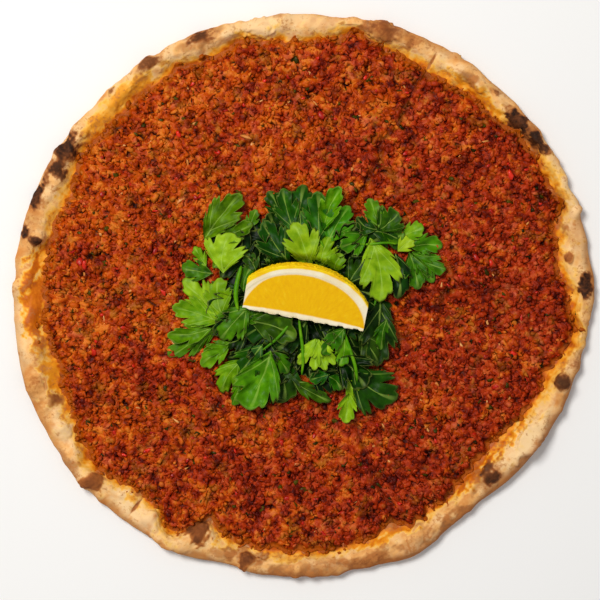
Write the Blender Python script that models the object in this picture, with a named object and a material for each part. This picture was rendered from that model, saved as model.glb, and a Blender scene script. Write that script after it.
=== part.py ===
"""Lahmacun: a thin round flatbread baked under spiced minced meat, garnished with parsley and lemon.

Four solids, none of which moves on another:
  crust          flat dough with a rolled, blistered rim
  meat_topping   the baked layer inside the rim, scored into slices
  parsley_bunch  an uneven heap of leaves, hollowed where the wedge lies in it
  lemon_wedge    an eighth of a lemon on its side, cut face up, both tips trimmed

Units are metres, +Z is up. The origin is the middle of the flat underside.
"""

import math

import bmesh
import bpy
import numpy as np
from mathutils import Matrix

MM = 0.001
GAP = 0.3 * MM                      # clearance between pieces that rest on each other

# Bread
BREAD_RADIUS = 157.0 * MM
BREAD_OVAL = 2.6 * MM               # the dough is pulled a little longer along one line
BREAD_OVAL_TURN = 20.0              # degrees from +X to that line
DOUGH_THICKNESS = 3.0 * MM          # under the topping
RIM_HEIGHT = 8.4 * MM
CREST_SHARE = 0.46                  # the crest's place across the rim, from the outside
ROLL_FLATNESS = 0.55                # below 1 the underside stays flat further out
STATIONS = 120                      # around every ring of the bread

# Blisters and dents of the rim: direction and spread in degrees, then outward and upward in mm
RIM_SWELLINGS = (
    (1, 5, 2.4, 0.8), (33, 8, -0.6, 1.6), (50, 8, -0.8, 0.9), (61, 3, 0.0, -1.6), (72, 6, 0.2, 1.9),
    (82, 7, -0.4, -0.9), (93, 6, 0.2, 1.0), (112, 5, 1.6, 1.2), (125, 5, 0.6, 1.3), (136, 6, 0.0, -1.2),
    (151, 7, 0.7, 1.5), (168, 6, 0.6, 0.7), (180, 7, 0.2, -1.4), (198, 6, 0.6, 2.0), (209, 6, 0.2, -0.8),
    (219, 5, 1.3, 2.4), (230, 4, 0.0, -1.2), (245, 5, 0.4, 2.6), (254, 6, -2.2, 0.4), (270, 7, 0.4, 1.6),
    (283, 5, -0.4, 0.2), (293, 5, 2.2, 1.2), (310, 10, -4.6, 0.6), (327, 9, -1.8, 4.0), (341, 6, -0.6, 1.6),
)

# Topping
TOPPING_RADIUS = 140.8 * MM
TOPPING_THICKNESS = 3.0 * MM
TOPPING_DIPS = 0.5 * MM             # how far its surface sinks between the thick places
TOPPING_EDGE = (                    # direction and spread in degrees, then outward in mm
    (21, 6, 7.0), (33, 8, 8.0), (352, 6, 9.5), (1, 4, 4.0), (49, 4, 3.5), (71, 3, 2.0), (78, 4, 6.0),
    (91, 3, -3.5), (104, 3, 2.5), (112, 3, -2.0), (119, 3, 1.0), (147, 4, 2.5), (157, 4, -2.5), (176, 6, 1.2),
    (196, 3, -3.0), (219, 5, 6.5), (229, 3, -2.0), (241, 3, 7.0), (248, 4, -6.5), (290, 9, -4.3),
    (305, 7, -3.5), (314, 5, -6.0), (324, 9, -7.8),
)
SCORE_TURNS = (2, 61, 122, 182, 231, 292)    # the cuts between slices, degrees
SCORE_DEPTH = 1.3 * MM
SCORE_START = 10.0 * MM             # where each cut begins, from the middle
DOUGH_TOP = DOUGH_THICKNESS
TOPPING_BASE = DOUGH_TOP + GAP
TOPPING_TOP = TOPPING_BASE + TOPPING_THICKNESS

# Parsley: leaf groups as direction and spread in degrees, then reach in mm past the heap's body
PARSLEY_CENTRE = (-2.0 * MM, -5.0 * MM)
PARSLEY_RADIUS = 46.0 * MM
PARSLEY_EDGE = 2.6 * MM             # thickness at the leaf tips
PARSLEY_RISE = 9.5 * MM             # height that the middle adds to that
PARSLEY_FOLD = 1.5 * MM             # height of the folds in the leaf surfaces
FOLD_LENGTH = 4.5 * MM              # their wavelength over 2 pi
LOBE_FADE = 3.0                     # how quickly the leaf tips merge into the heap
PARSLEY_LOBES = (
    (9, 7, 31), (24, 6, 18), (43, 7, 28), (58, 5, 14), (76, 6, 17), (88, 5, 17), (114, 7, 18),
    (143, 10, 18), (163, 7, 20), (179, 8, 21), (199, 6, 28), (222, 9, 14), (238, 8, 18), (254, 7, 10),
    (290, 5, 20), (314, 8, 28), (335, 9, 14), (351, 5, 8),
)
PARSLEY_STATIONS = 108

# Lemon wedge
LEMON_RADIUS = 32.2 * MM
LEMON_HALF_LENGTH = 40.0 * MM       # of the whole fruit, tip to tip
WEDGE_TIP_LEFT = 32.2 * MM          # from the fruit's middle to the trimmed ends
WEDGE_TIP_RIGHT = 34.2 * MM
WEDGE_UPPER = 22.0                  # degrees that the upper cut face climbs towards the peel
WEDGE_LOWER = -23.0                 # and that the lower cut face drops
CORE_STRIP = 1.2 * MM               # width of the flat where the white core was trimmed
WEDGE_PLACE = (-2.0 * MM, -14.4 * MM, 21.0 * MM)
WEDGE_TURN = -10.8                  # degrees about +Z


def bumps(angles, features):
    """Sum of smooth swellings around a circle; a feature is (direction, spread, height)."""
    total = np.zeros_like(angles)
    for direction, spread, height in features:
        away = (angles - direction + 180.0) % 360.0 - 180.0
        total += height * np.exp(-(away / spread) ** 2)
    return total


def ring_angles(stations):
    """Directions in degrees, evenly spaced around the circle."""
    return np.arange(stations) * 360.0 / stations


def bread_outline(angles):
    """Distance from the middle to the bread's outermost edge."""
    oval = BREAD_OVAL * np.cos(np.radians(2.0 * (angles - BREAD_OVAL_TURN)))
    outward = [(turn, spread, out * MM) for turn, spread, out, _ in RIM_SWELLINGS]
    return BREAD_RADIUS + oval + bumps(angles, outward)


def topping_outline(angles):
    """Distance from the middle to the uneven edge of the topping."""
    return TOPPING_RADIUS + bumps(angles, [(turn, spread, out * MM) for turn, spread, out in TOPPING_EDGE])


def outline_middle():
    """Middle of the box around the bread's outline, which is moved onto the origin."""
    angles = np.radians(ring_angles(STATIONS))
    radius = bread_outline(ring_angles(STATIONS))
    x = radius * np.cos(angles)
    y = radius * np.sin(angles)
    return (x.min() + x.max()) / 2.0, (y.min() + y.max()) / 2.0


def loft(name, centre, radii, heights, angles):
    """Close a stack of rings into a solid: radii and heights are arrays (ring, station).

    The rings run from the underside's middle, out and up over the edge, to the top's middle.
    Each end is closed by a fan to a point at the height of the ring beside it.
    """
    mesh = bmesh.new()
    turn = np.radians(angles)
    rings = []
    for radius, height in zip(radii, heights):
        x = centre[0] + radius * np.cos(turn)
        y = centre[1] + radius * np.sin(turn)
        rings.append([mesh.verts.new(point) for point in zip(x, y, np.broadcast_to(height, x.shape))])
    count = len(angles)
    for lower, upper in zip(rings, rings[1:]):
        for i in range(count):
            j = (i + 1) % count
            mesh.faces.new((lower[i], lower[j], upper[j], upper[i]))
    bottom = mesh.verts.new((*centre, float(np.mean(heights[0]))))
    top = mesh.verts.new((*centre, float(np.mean(heights[-1]))))
    for i in range(count):
        j = (i + 1) % count
        mesh.faces.new((bottom, rings[0][j], rings[0][i]))
        mesh.faces.new((top, rings[-1][i], rings[-1][j]))
    return add_object(name, mesh)


def add_object(name, mesh):
    """Put a bmesh into a new smooth-shaded object."""
    data = bpy.data.meshes.new(name)
    mesh.to_mesh(data)
    mesh.free()
    data.shade_smooth()
    return bpy.data.objects.new(name, data)


def food_material(name, color, roughness):
    """A plain Principled material for one sub-part."""
    material = bpy.data.materials.new(name)
    material.use_nodes = True
    shader = material.node_tree.nodes["Principled BSDF"]
    shader.inputs["Base Color"].default_value = (*color, 1.0)
    shader.inputs["Roughness"].default_value = roughness
    shader.inputs["Metallic"].default_value = 0.0
    return material


def make_crust(centre):
    """Dough disc whose edge is rolled up into an uneven rim."""
    angles = ring_angles(STATIONS)
    outer = bread_outline(angles)
    inner = topping_outline(angles)
    height = RIM_HEIGHT + bumps(angles, [(turn, spread, up * MM) for turn, spread, _, up in RIM_SWELLINGS])
    roll = CREST_SHARE * (outer - inner)
    crest = outer - roll

    radii = [crest * 0.5, crest]
    heights = [np.zeros_like(crest), np.zeros_like(crest)]
    for turn in np.radians((-52.0, -18.0, 15.0, 48.0, 90.0)):
        reach = math.cos(turn) ** (ROLL_FLATNESS if turn < 0.0 else 1.0)
        radii.append(crest + roll * reach)
        heights.append(height / 2.0 * (1.0 + math.sin(turn)))
    for share in (0.3, 0.6, 1.0):
        drop = 0.5 + 0.5 * math.cos(math.pi * share)
        radii.append(crest + share * (inner - crest))
        heights.append(DOUGH_TOP + (height - DOUGH_TOP) * drop)
    for share in (0.66, 0.33):
        radii.append(inner * share)
        heights.append(np.full_like(inner, DOUGH_TOP))
    return loft("crust", centre, radii, heights, angles)


def make_topping(centre):
    """Meat layer with a rounded edge and a gently dipping surface; the cuts come later."""
    angles = ring_angles(STATIONS)
    edge = topping_outline(angles) - GAP
    radii = [edge * 0.5, edge - 0.8 * MM, edge]
    heights = [np.full_like(edge, TOPPING_BASE)] * 2 + [np.full_like(edge, TOPPING_BASE + 0.8 * MM)]
    radii += [edge - 0.8 * MM, edge - 3.0 * MM]
    heights += [np.full_like(edge, TOPPING_BASE + 0.7 * TOPPING_THICKNESS), np.full_like(edge, TOPPING_TOP)]
    for share in (0.9, 0.8, 0.68, 0.56):
        radius = edge * share
        x = radius * np.cos(np.radians(angles))
        y = radius * np.sin(np.radians(angles))
        dips = 0.5 + 0.25 * np.sin(x / (11.0 * MM) + 1.3) + 0.25 * np.sin(y / (9.0 * MM) - 0.4)
        radii.append(radius)
        heights.append(TOPPING_TOP - TOPPING_DIPS * dips)
    radii += [edge * 0.4, edge * 0.2]
    heights += [np.full_like(edge, TOPPING_TOP)] * 2
    return loft("meat_topping", centre, radii, heights, angles)


def make_score_cutter(number, turn, centre):
    """Square bar on its edge: it leaves a V-shaped cut in the topping, from near the middle outward."""
    length = TOPPING_RADIUS * 1.15 - SCORE_START
    side = SCORE_DEPTH * math.sqrt(2.0)
    mesh = bmesh.new()
    bmesh.ops.create_cube(mesh, size=1.0, matrix=Matrix.Diagonal((length, side, side, 1.0)))
    bmesh.ops.rotate(mesh, verts=mesh.verts, matrix=Matrix.Rotation(math.radians(45.0), 3, "X"))
    cutter = add_object(f"score_cutter_{number}", mesh)
    reach = SCORE_START + length / 2.0
    heading = math.radians(turn)
    cutter.location = (
        centre[0] + reach * math.cos(heading), centre[1] + reach * math.sin(heading), TOPPING_TOP)
    cutter.rotation_euler = (0.0, 0.0, heading)
    return cutter


def make_parsley():
    """Low heap of leaves: leaf tips that fray out from a rounder, folded middle."""
    angles = ring_angles(PARSLEY_STATIONS)
    turn = np.radians(angles)
    base = TOPPING_TOP + GAP
    leaves = bumps(angles, [(turn, spread, reach * MM) for turn, spread, reach in PARSLEY_LOBES])

    def ring(share):
        return PARSLEY_RADIUS * share + leaves * share ** LOBE_FADE

    radii = [ring(0.5), ring(0.96), ring(1.0)]
    heights = [np.full_like(angles, base), np.full_like(angles, base), base + 0.5 * PARSLEY_EDGE]
    for share in (0.96, 0.85, 0.72, 0.58, 0.44, 0.3, 0.15):
        radius = ring(share)
        folds = np.sin(radius * np.cos(turn) / FOLD_LENGTH) * np.sin(radius * np.sin(turn) / FOLD_LENGTH + 1.0)
        rise = PARSLEY_RISE * (1.0 - share ** 1.6)
        radii.append(radius)
        heights.append(base + PARSLEY_EDGE + rise + PARSLEY_FOLD * folds * math.sin(math.pi * share))
    return loft("parsley_bunch", PARSLEY_CENTRE, radii, heights, angles)


def trim(mesh, point, outward):
    """Cut a closed convex mesh with a plane, drop what lies outward of it and fill the cut."""
    geometry = mesh.verts[:] + mesh.edges[:] + mesh.faces[:]
    result = bmesh.ops.bisect_plane(
        mesh, geom=geometry, dist=1e-7, plane_co=point, plane_no=outward, clear_outer=True)
    rim = [item for item in result["geom_cut"] if isinstance(item, bmesh.types.BMEdge)]
    bmesh.ops.edgeloop_fill(mesh, edges=rim)


def make_wedge(name, grow=0.0):
    """Slice of an ellipsoid about X, between two planes through its axis, with both tips trimmed.

    grow moves every surface outward, for the hollow that the wedge leaves in the leaves.
    """
    mesh = bmesh.new()
    size = (LEMON_HALF_LENGTH + grow, LEMON_RADIUS + grow, LEMON_RADIUS + grow, 1.0)
    along_x = Matrix.Rotation(math.radians(90.0), 4, "Y")
    bmesh.ops.create_uvsphere(
        mesh, u_segments=40, v_segments=20, radius=1.0, matrix=Matrix.Diagonal(size) @ along_x)
    for turn, side in ((WEDGE_UPPER, 1.0), (WEDGE_LOWER, -1.0)):
        angle = math.radians(turn)
        outward = (0.0, -side * math.sin(angle), side * math.cos(angle))
        trim(mesh, tuple(grow * part for part in outward), outward)
    core = CORE_STRIP / 2.0 / math.tan(math.radians(WEDGE_UPPER - WEDGE_LOWER) / 2.0)
    trim(mesh, (0.0, core - grow, 0.0), (0.0, -1.0, 0.0))
    trim(mesh, (-WEDGE_TIP_LEFT - grow, 0.0, 0.0), (-1.0, 0.0, 0.0))
    trim(mesh, (WEDGE_TIP_RIGHT + grow, 0.0, 0.0), (1.0, 0.0, 0.0))
    wedge = add_object(name, mesh)
    wedge.data.set_sharp_from_angle(angle=math.radians(30.0))
    wedge.location = WEDGE_PLACE
    wedge.rotation_euler = (0.0, 0.0, math.radians(WEDGE_TURN))
    return wedge


def subtract(part, cutter):
    """Cut one solid out of another and mark the cutter as a guide."""
    cut = part.modifiers.new(cutter.name, "BOOLEAN")
    cut.operation = "DIFFERENCE"
    cut.solver = "EXACT"
    cut.object = cutter
    cutter.hide_render = True
    cutter.display_type = "WIRE"


def new_collection(name):
    """Add a collection to the scene."""
    collection = bpy.data.collections.new(name)
    bpy.context.scene.collection.children.link(collection)
    return collection


def main():
    for old in list(bpy.data.objects):
        bpy.data.objects.remove(old)
    parts = new_collection("lahmacun")
    cutters = new_collection("cutters")

    middle = outline_middle()
    bread_centre = (-middle[0], -middle[1])
    crust = make_crust(bread_centre)
    topping = make_topping(bread_centre)
    parsley = make_parsley()
    lemon = make_wedge("lemon_wedge")

    for number, turn in enumerate(SCORE_TURNS, start=1):
        score = make_score_cutter(number, turn, bread_centre)
        cutters.objects.link(score)
        subtract(topping, score)
    hollow = make_wedge("wedge_hollow", grow=GAP)
    cutters.objects.link(hollow)
    subtract(parsley, hollow)

    finishes = (
        (crust, "baked_dough", (0.70, 0.42, 0.18), 0.75),
        (topping, "baked_mince", (0.26, 0.045, 0.008), 0.55),
        (parsley, "parsley_leaf", (0.07, 0.20, 0.010), 0.45),
        (lemon, "lemon_flesh_and_peel", (0.78, 0.50, 0.02), 0.35),
    )
    for part, name, color, roughness in finishes:
        parts.objects.link(part)
        part.data.materials.append(food_material(name, color, roughness))


main()
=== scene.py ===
# %% [markdown]
# # A lahmacun, baked in numpy
# A lahmacun is a thin round of dough, baked under a layer of minced meat, tomato and pepper. This one
# carries a handful of flat-leaf parsley and a wedge of lemon. The solids that this lesson starts from are
# plain: they fix where the dough, the meat, the heap of leaves and the wedge are. Each step replaces one of
# them with a surface that is worked out as whole arrays, and gives it a finish made of shader nodes.
#
# The first cell loads those solids. They are measured in metres, with +Z up, and nothing here moves them.

# %% Load the frame
import math

import bpy
import numpy as np
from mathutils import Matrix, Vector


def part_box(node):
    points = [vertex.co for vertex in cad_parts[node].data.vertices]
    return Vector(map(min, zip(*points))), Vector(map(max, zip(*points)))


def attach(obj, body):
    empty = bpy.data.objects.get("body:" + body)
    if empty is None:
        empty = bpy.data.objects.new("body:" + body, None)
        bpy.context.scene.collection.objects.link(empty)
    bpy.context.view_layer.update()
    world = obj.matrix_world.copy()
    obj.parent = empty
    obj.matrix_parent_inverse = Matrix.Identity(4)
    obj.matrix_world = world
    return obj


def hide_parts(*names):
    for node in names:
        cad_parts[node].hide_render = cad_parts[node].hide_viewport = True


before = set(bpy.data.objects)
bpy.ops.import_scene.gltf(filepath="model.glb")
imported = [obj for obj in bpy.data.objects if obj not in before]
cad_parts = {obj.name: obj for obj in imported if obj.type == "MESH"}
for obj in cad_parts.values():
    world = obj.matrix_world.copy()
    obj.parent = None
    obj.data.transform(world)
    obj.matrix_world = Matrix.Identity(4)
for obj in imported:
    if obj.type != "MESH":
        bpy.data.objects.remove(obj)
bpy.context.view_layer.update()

MM = 0.001

# %% [markdown]
# ## The camera and the light
# The dish is seen from straight above, as on a menu. A long lens far away keeps the lemon, which stands
# highest, from looking larger than it is. The camera hangs over a point just beside the bread's middle.
#
# The light is that of a window: a large soft lamp high on the left and behind, a weaker one opposite to open
# the shadows, and a pale sky all round. The floor is a plain pale sheet, just under the bread.

# %% Camera, floor and lamps
LENS = 100.0                        # mm, on a sensor 36 mm wide
SENSOR = 36.0
VIEW_WIDTH = 328.8 * MM             # how much of the rim's plane is seen
VIEW_MIDDLE = (-2.2 * MM, -2.5 * MM)
RIM_PLANE = 7.0 * MM

lens = bpy.data.cameras.new("camera")
lens.lens = LENS
lens.sensor_width = SENSOR
camera = bpy.data.objects.new("camera", lens)
camera.location = (*VIEW_MIDDLE, RIM_PLANE + VIEW_WIDTH * LENS / SENSOR)
bpy.context.scene.collection.objects.link(camera)
bpy.context.scene.camera = camera
bpy.context.scene.view_settings.view_transform = "Standard"


def add_lamp(name, place, size, power, color):
    """Square area lamp at a place in metres, aimed at the middle of the bread."""
    light = bpy.data.lights.new(name, "AREA")
    light.size = size
    light.energy = power
    light.color = color
    lamp = bpy.data.objects.new(name, light)
    lamp.location = place
    x, y, z = place
    lamp.rotation_euler = (math.atan2(math.hypot(x, y), z), 0.0, math.atan2(y, x) + math.pi / 2.0)
    bpy.context.scene.collection.objects.link(lamp)


add_lamp("window", (-0.52, 0.52, 1.34), 0.5, 18.2, (1.0, 0.97, 0.92))
add_lamp("bounce", (0.9, -0.8, 0.9), 1.2, 1.0, (0.95, 0.97, 1.0))

sky = bpy.data.worlds.new("sky")
sky.use_nodes = True
sky.node_tree.nodes["Background"].inputs["Color"].default_value = (1.0, 1.0, 1.0, 1.0)
sky.node_tree.nodes["Background"].inputs["Strength"].default_value = 0.33
bpy.context.scene.world = sky
print("camera", round(camera.location.z / MM), "mm up")

# %% [markdown]
# ## Writing a finish as arithmetic
# A material is a graph of nodes. Wiring it by hand hides the idea, so one small class wraps an output
# socket and lets +, - and * add the Math nodes. Everything that isn't plain arithmetic comes from a single
# method: it adds a node, sets its settings first, and then fills or links its inputs.

# %% Colours and wires
def srgb(red, green, blue):
    """A colour given as it looks on screen, 0 to 255, as the linear numbers that a shader wants."""
    shown = np.array([red, green, blue]) / 255.0
    linear = np.where(shown <= 0.04045, shown / 12.92, ((shown + 0.055) / 1.055) ** 2.4)
    return (*linear.tolist(), 1.0)


class Wire:
    """An output socket of a finish; arithmetic on it adds Math nodes."""

    def __init__(self, finish, socket):
        self.finish = finish
        self.socket = socket

    def maths(self, operation, first, second):
        """One of the Math node's functions of two values."""
        return self.finish.node("ShaderNodeMath", {"operation": operation}, {0: first, 1: second})

    def through(self, operation):
        """One of the Math node's functions of a single value."""
        return self.finish.node("ShaderNodeMath", {"operation": operation}, {0: self})

    def __add__(self, other):
        return self.maths("ADD", self, other)

    def __sub__(self, other):
        return self.maths("SUBTRACT", self, other)

    def __rsub__(self, other):
        return self.maths("SUBTRACT", other, self)

    def __mul__(self, other):
        return self.maths("MULTIPLY", self, other)

    __radd__ = __add__
    __rmul__ = __mul__


print("mid grey on screen is", round(srgb(128, 128, 128)[0], 3), "to a shader")

# %% [markdown]
# A finish is one material. Its Principled shader's constants are set as it is made, and what varies over the
# surface is fed to the shader last. Noise reads object coordinates, so its patches are measured in metres and
# stay where they are on a piece.

# %% Finishes
class Finish:
    """A material under construction, with its Principled shader's constant sockets set at once."""

    def __init__(self, name, **constants):
        self.material = bpy.data.materials.new(name)
        self.material.use_nodes = True
        self.tree = self.material.node_tree
        self.shader = self.tree.nodes["Principled BSDF"]
        for socket, value in constants.items():
            self.shader.inputs[socket.replace("_", " ")].default_value = value
        self.place = self.node("ShaderNodeTexCoord", output="Object")

    def node(self, kind, settings=None, inputs=None, output=0):
        """Add a node of this kind, apply its settings, fill or link its inputs and return one output."""
        node = self.tree.nodes.new(kind)
        for name, value in (settings or {}).items():
            if name == "stops":
                self.fill_ramp(node.color_ramp, value)
            else:
                setattr(node, name, value)
        for name, value in (inputs or {}).items():
            self.plug(value, node.inputs[name])
        return Wire(self, node.outputs[output])

    def fill_ramp(self, ramp, stops):
        """Give a colour ramp its stops, each a position and a colour."""
        while len(ramp.elements) < len(stops):
            ramp.elements.new(0.5)
        for element, (position, color) in zip(ramp.elements, stops):
            element.position = position
            element.color = color

    def plug(self, value, socket):
        """Link a wire to an input socket, or set a constant on it."""
        if isinstance(value, Wire):
            self.tree.links.new(value.socket, socket)
        else:
            socket.default_value = value

    def feed(self, **varying):
        """Link what changes over the surface to the shader."""
        for socket, wire in varying.items():
            self.plug(wire, self.shader.inputs[socket.replace("_", " ")])

    def mask(self, name):
        """A value that was worked out for each point of the piece."""
        return self.node("ShaderNodeAttribute", {"attribute_name": name}, output="Fac")

    def noise(self, size, detail=2.0, roughness=0.5):
        """Soft noise, 0 to 1, whose patches are about this many metres across."""
        knobs = {"Vector": self.place, "Scale": 1.0 / size, "Detail": detail, "Roughness": roughness}
        return self.node("ShaderNodeTexNoise", inputs=knobs, output="Fac")

    def ramp(self, factor, *stops):
        """Colour that follows the factor through the stops."""
        return self.node("ShaderNodeValToRGB", {"stops": stops}, {"Fac": factor}, "Color")

    def between(self, value, low, high):
        """0 where the value is at low, 1 where it is at high, smooth in between."""
        ends = {"Value": value, "From Min": low, "From Max": high}
        return self.node("ShaderNodeMapRange", {"interpolation_type": "SMOOTHSTEP"}, ends)

    def mix(self, factor, first, second):
        """The first colour where the factor is 0, the second where it is 1."""
        return self.node("ShaderNodeMix", {"data_type": "RGBA"}, {0: factor, 6: first, 7: second}, 2)

    def bump(self, height, depth, strength=1.0):
        """Normal that pretends the height, 0 to 1, stands this many metres proud."""
        return self.node("ShaderNodeBump", None, {"Height": height, "Distance": depth, "Strength": strength})


print("a finish can", ", ".join(name for name in vars(Finish) if not name.startswith("_")))

# %% [markdown]
# The floor gets the first finish: a matt sheet, nearly white and only faintly uneven, so that nothing draws
# the eye from the bread. It isn't part of the object.

# %% The floor
floor_finish = Finish("pale_sheet", Roughness=0.9)
floor_finish.feed(Base_Color=floor_finish.ramp(
    floor_finish.noise(0.4), (0.3, (0.93, 0.93, 0.93, 1.0)), (0.7, (0.95, 0.95, 0.95, 1.0))))
bpy.ops.mesh.primitive_plane_add(size=4.0, location=(0.0, 0.0, -0.3 * MM))
floor = bpy.context.object
floor.name = "floor"
floor.data.materials.append(floor_finish.material)
print("floor", round(floor.dimensions.x, 1), "m wide")

# %% [markdown]
# ## From arrays to meshes
# Every piece below is an array of points and an array of faces. Most surfaces are grids, so the faces are
# numbered by a few short functions: one for a grid, one for a tube with its ends closed, and one that copies
# the faces of a small shape for many copies of it.

# %% Grids
def quads(rows, columns, wrap=False):
    """Faces between the points of a grid, numbered row by row; wrap joins the last column to the first."""
    i = np.arange(rows - 1)[:, None]
    j = np.arange(columns if wrap else columns - 1)[None, :]
    k = (j + 1) % columns
    corners = (i * columns + j, i * columns + k, (i + 1) * columns + k, (i + 1) * columns + j)
    return np.stack(np.broadcast_arrays(*corners), -1).reshape(-1, 4)


def tube(rows, columns):
    """Faces of a grid that is joined around, with one flat face across its first and its last row."""
    ring = np.arange(columns)
    return [quads(rows, columns, wrap=True), ring[None, ::-1], ring[None] + (rows - 1) * columns]


def copied(faces, copies, points_each):
    """The same faces for many copies of a shape whose points follow one another."""
    step = np.arange(copies)[:, None, None] * points_each
    return (faces[None] + step).reshape(-1, faces.shape[1])


def circle(count):
    """Directions of evenly spaced points around a circle, in radians."""
    return np.arange(count) * 2.0 * math.pi / count


print("a grid of 4 by 6 points has", len(quads(4, 6)), "faces,", len(quads(4, 6, wrap=True)), "joined around")

# %% [markdown]
# One function carries the arrays into Blender. It fills each of the mesh's own arrays in one go, paints the
# masks as point attributes, and hides the solid that the piece stands for. A piece without a map of its own
# gets the one that looks straight down.

# %% From arrays to a piece
def flat_map(points):
    """Map that looks straight down: x and y, stretched to fill the unit square."""
    low, high = points[:, :2].min(0), points[:, :2].max(0)
    return (points[:, :2] - low) / (high - low)


def make_piece(name, points, faces, finish, slot, node, uv=None, **masks):
    """Build a smooth mesh from points (n, 3) and a list of face arrays, and hand it to the frame."""
    corners = np.concatenate([group.ravel() for group in faces]).astype(np.int32)
    sizes = np.concatenate([np.full(len(group), group.shape[1]) for group in faces])
    mesh = bpy.data.meshes.new(name)
    mesh.vertices.add(len(points))
    mesh.vertices.foreach_set("co", points.astype(np.float32).ravel())
    mesh.loops.add(len(corners))
    mesh.loops.foreach_set("vertex_index", corners)
    mesh.polygons.add(len(sizes))
    mesh.polygons.foreach_set("loop_start", (np.cumsum(sizes) - sizes).astype(np.int32))
    mesh.update(calc_edges=True)
    layer = mesh.uv_layers.new(name="OFBake")
    places = flat_map(points) if uv is None else uv
    layer.uv.foreach_set("vector", places[corners].astype(np.float32).ravel())
    for mask, values in masks.items():
        attribute = mesh.attributes.new(mask, "FLOAT", "POINT")
        attribute.data.foreach_set("value", np.ascontiguousarray(values, np.float32).ravel())
    mesh.shade_smooth()
    mesh.materials.append(finish.material)
    piece = bpy.data.objects.new(name, mesh)
    bpy.context.scene.collection.objects.link(piece)
    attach(piece, "root")
    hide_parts(node)
    print(f"{name}: {len(points)} points, {int((sizes - 2).sum())} triangles")


def inside(points, node):
    """Points (..., 3) as rows, held inside the box of a frame node."""
    low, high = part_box(node)
    return np.clip(points, np.array(low), np.array(high)).reshape(-1, 3)


print("pieces may stand for", ", ".join(sorted(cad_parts)))

# %% [markdown]
# Uneven surfaces need noise that is the same at every run. A sum of sine waves in random directions is
# smooth, cheap on whole arrays, and its lumps are as wide as we ask. Two more helpers are needed everywhere:
# an easy step from 0 to 1, and a turn about an axis.

# %% Ripples, steps and turns
def ripples(points, length, seed, waves=20):
    """Noise about 0, mostly within 2 either way, with lumps `length` metres apart.

    It is the sum of sine waves that cross the points in random directions, each with a length within about
    a third of the asked one, scaled so that the mean square is 1.
    """
    draw = np.random.default_rng(seed)
    heading = draw.normal(size=(waves, points.shape[-1]))
    heading /= np.linalg.norm(heading, axis=1, keepdims=True)
    heading *= 2.0 * math.pi / (length * draw.uniform(0.7, 1.4, (waves, 1)))
    phase = draw.uniform(0.0, 2.0 * math.pi, waves)
    return np.sin(points @ heading.T + phase).sum(-1) * math.sqrt(2.0 / waves)


def smooth(values):
    """0 below 0, 1 above 1, and an easy slope between: 3 t^2 - 2 t^3."""
    t = np.clip(values, 0.0, 1.0)
    return t * t * (3.0 - 2.0 * t)


def turned(x, y, angle):
    """The pair (x, y) turned anticlockwise by an angle in radians."""
    c, s = np.cos(angle), np.sin(angle)
    return x * c - y * s, x * s + y * c


sheet = np.stack(np.meshgrid(np.linspace(0.0, 1.0, 100), np.linspace(0.0, 1.0, 100)), -1)
wavy = ripples(sheet, 50.0 * MM, 1)
print("ripples on a square metre: mean square", round((wavy ** 2).mean(), 2), "highest", round(wavy.max(), 2))

# %% [markdown]
# ## Reading the bread's outline
# The dough solid has a rim station every three degrees, counted from a middle that isn't quite the origin.
# That middle is the one point from which the ring on the floor lies in even directions: each of its points p
# asks that p - c and its direction be parallel, and least squares answers them all. Sorting the vertices by
# direction then gives, for each station, how far out the bread reaches, where its crest is, how high it is
# and where the meat begins. A sum of waves around the circle joins the stations, so that a finer ring
# follows the same bread.

# %% The rim's stations
STATIONS = 120
SAME = 0.01 * MM                    # heights closer than this are the same height


def node_points(name):
    """A frame node's vertices as an array (vertex, 3)."""
    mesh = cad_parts[name].data
    flat = np.empty(len(mesh.vertices) * 3, np.float32)
    mesh.vertices.foreach_get("co", flat)
    return flat.reshape(-1, 3).astype(float)


def directions(points):
    """Station number of each point: its direction in steps of three degrees."""
    turn = np.degrees(np.arctan2(points[:, 1], points[:, 0]))
    return np.rint(turn * STATIONS / 360.0).astype(int) % STATIONS


def even_middle(ring):
    """The point c for which (p - c) x d = 0 fits best over a ring's points p and their directions d."""
    turn = 2.0 * math.pi * directions(ring) / STATIONS
    sides = np.stack([np.sin(turn), -np.cos(turn)], -1)
    return np.linalg.lstsq(sides, (ring[:, :2] * sides).sum(-1), rcond=None)[0]


dough = node_points("crust")
middle = even_middle(dough[dough[:, 2] < SAME])
dough_radius = np.hypot(*(dough[:, :2] - middle).T)
station = directions(dough[:, :2] - middle)
dough_top = 3.0 * MM                # of the dough under the meat
print(len(dough), "points of the plain dough, middle at", np.round(middle / MM, 2), "mm")

# %% [markdown]
# At each station the largest of the right values is the one to keep: the widest point is the outer edge,
# the highest is the crest, and the widest point at the height of the meat's bed is where the meat begins.

# %% The rim as rings
RING = 1320                         # points around the fine dough


def widest(values, chosen):
    """The largest of the chosen values at each station."""
    found = np.zeros(STATIONS)
    np.maximum.at(found, station[chosen], values[chosen])
    return found


def around(samples, count):
    """Samples around a circle, joined by the waves that pass through them, at `count` directions."""
    return np.fft.irfft(np.fft.rfft(samples), count) * count / len(samples)


height_at = widest(dough[:, 2], dough_radius > 0.0)
outer_at = widest(dough_radius, dough_radius > 0.0)
crest_at = widest(dough_radius, np.abs(dough[:, 2] - height_at[station]) < SAME)
within = dough_radius < crest_at[station] - MM
inner_at = widest(dough_radius, (dough[:, 2] - dough_top < SAME) & within)

ring_turn = np.arange(RING) * 360.0 / RING
outer, inner, crest, height = (around(s, RING) for s in (outer_at, inner_at, crest_at, height_at))


def at_turn(ring, turn):
    """A ring's value at any direction in degrees."""
    return np.interp(turn, ring_turn, ring, period=360.0)


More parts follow.
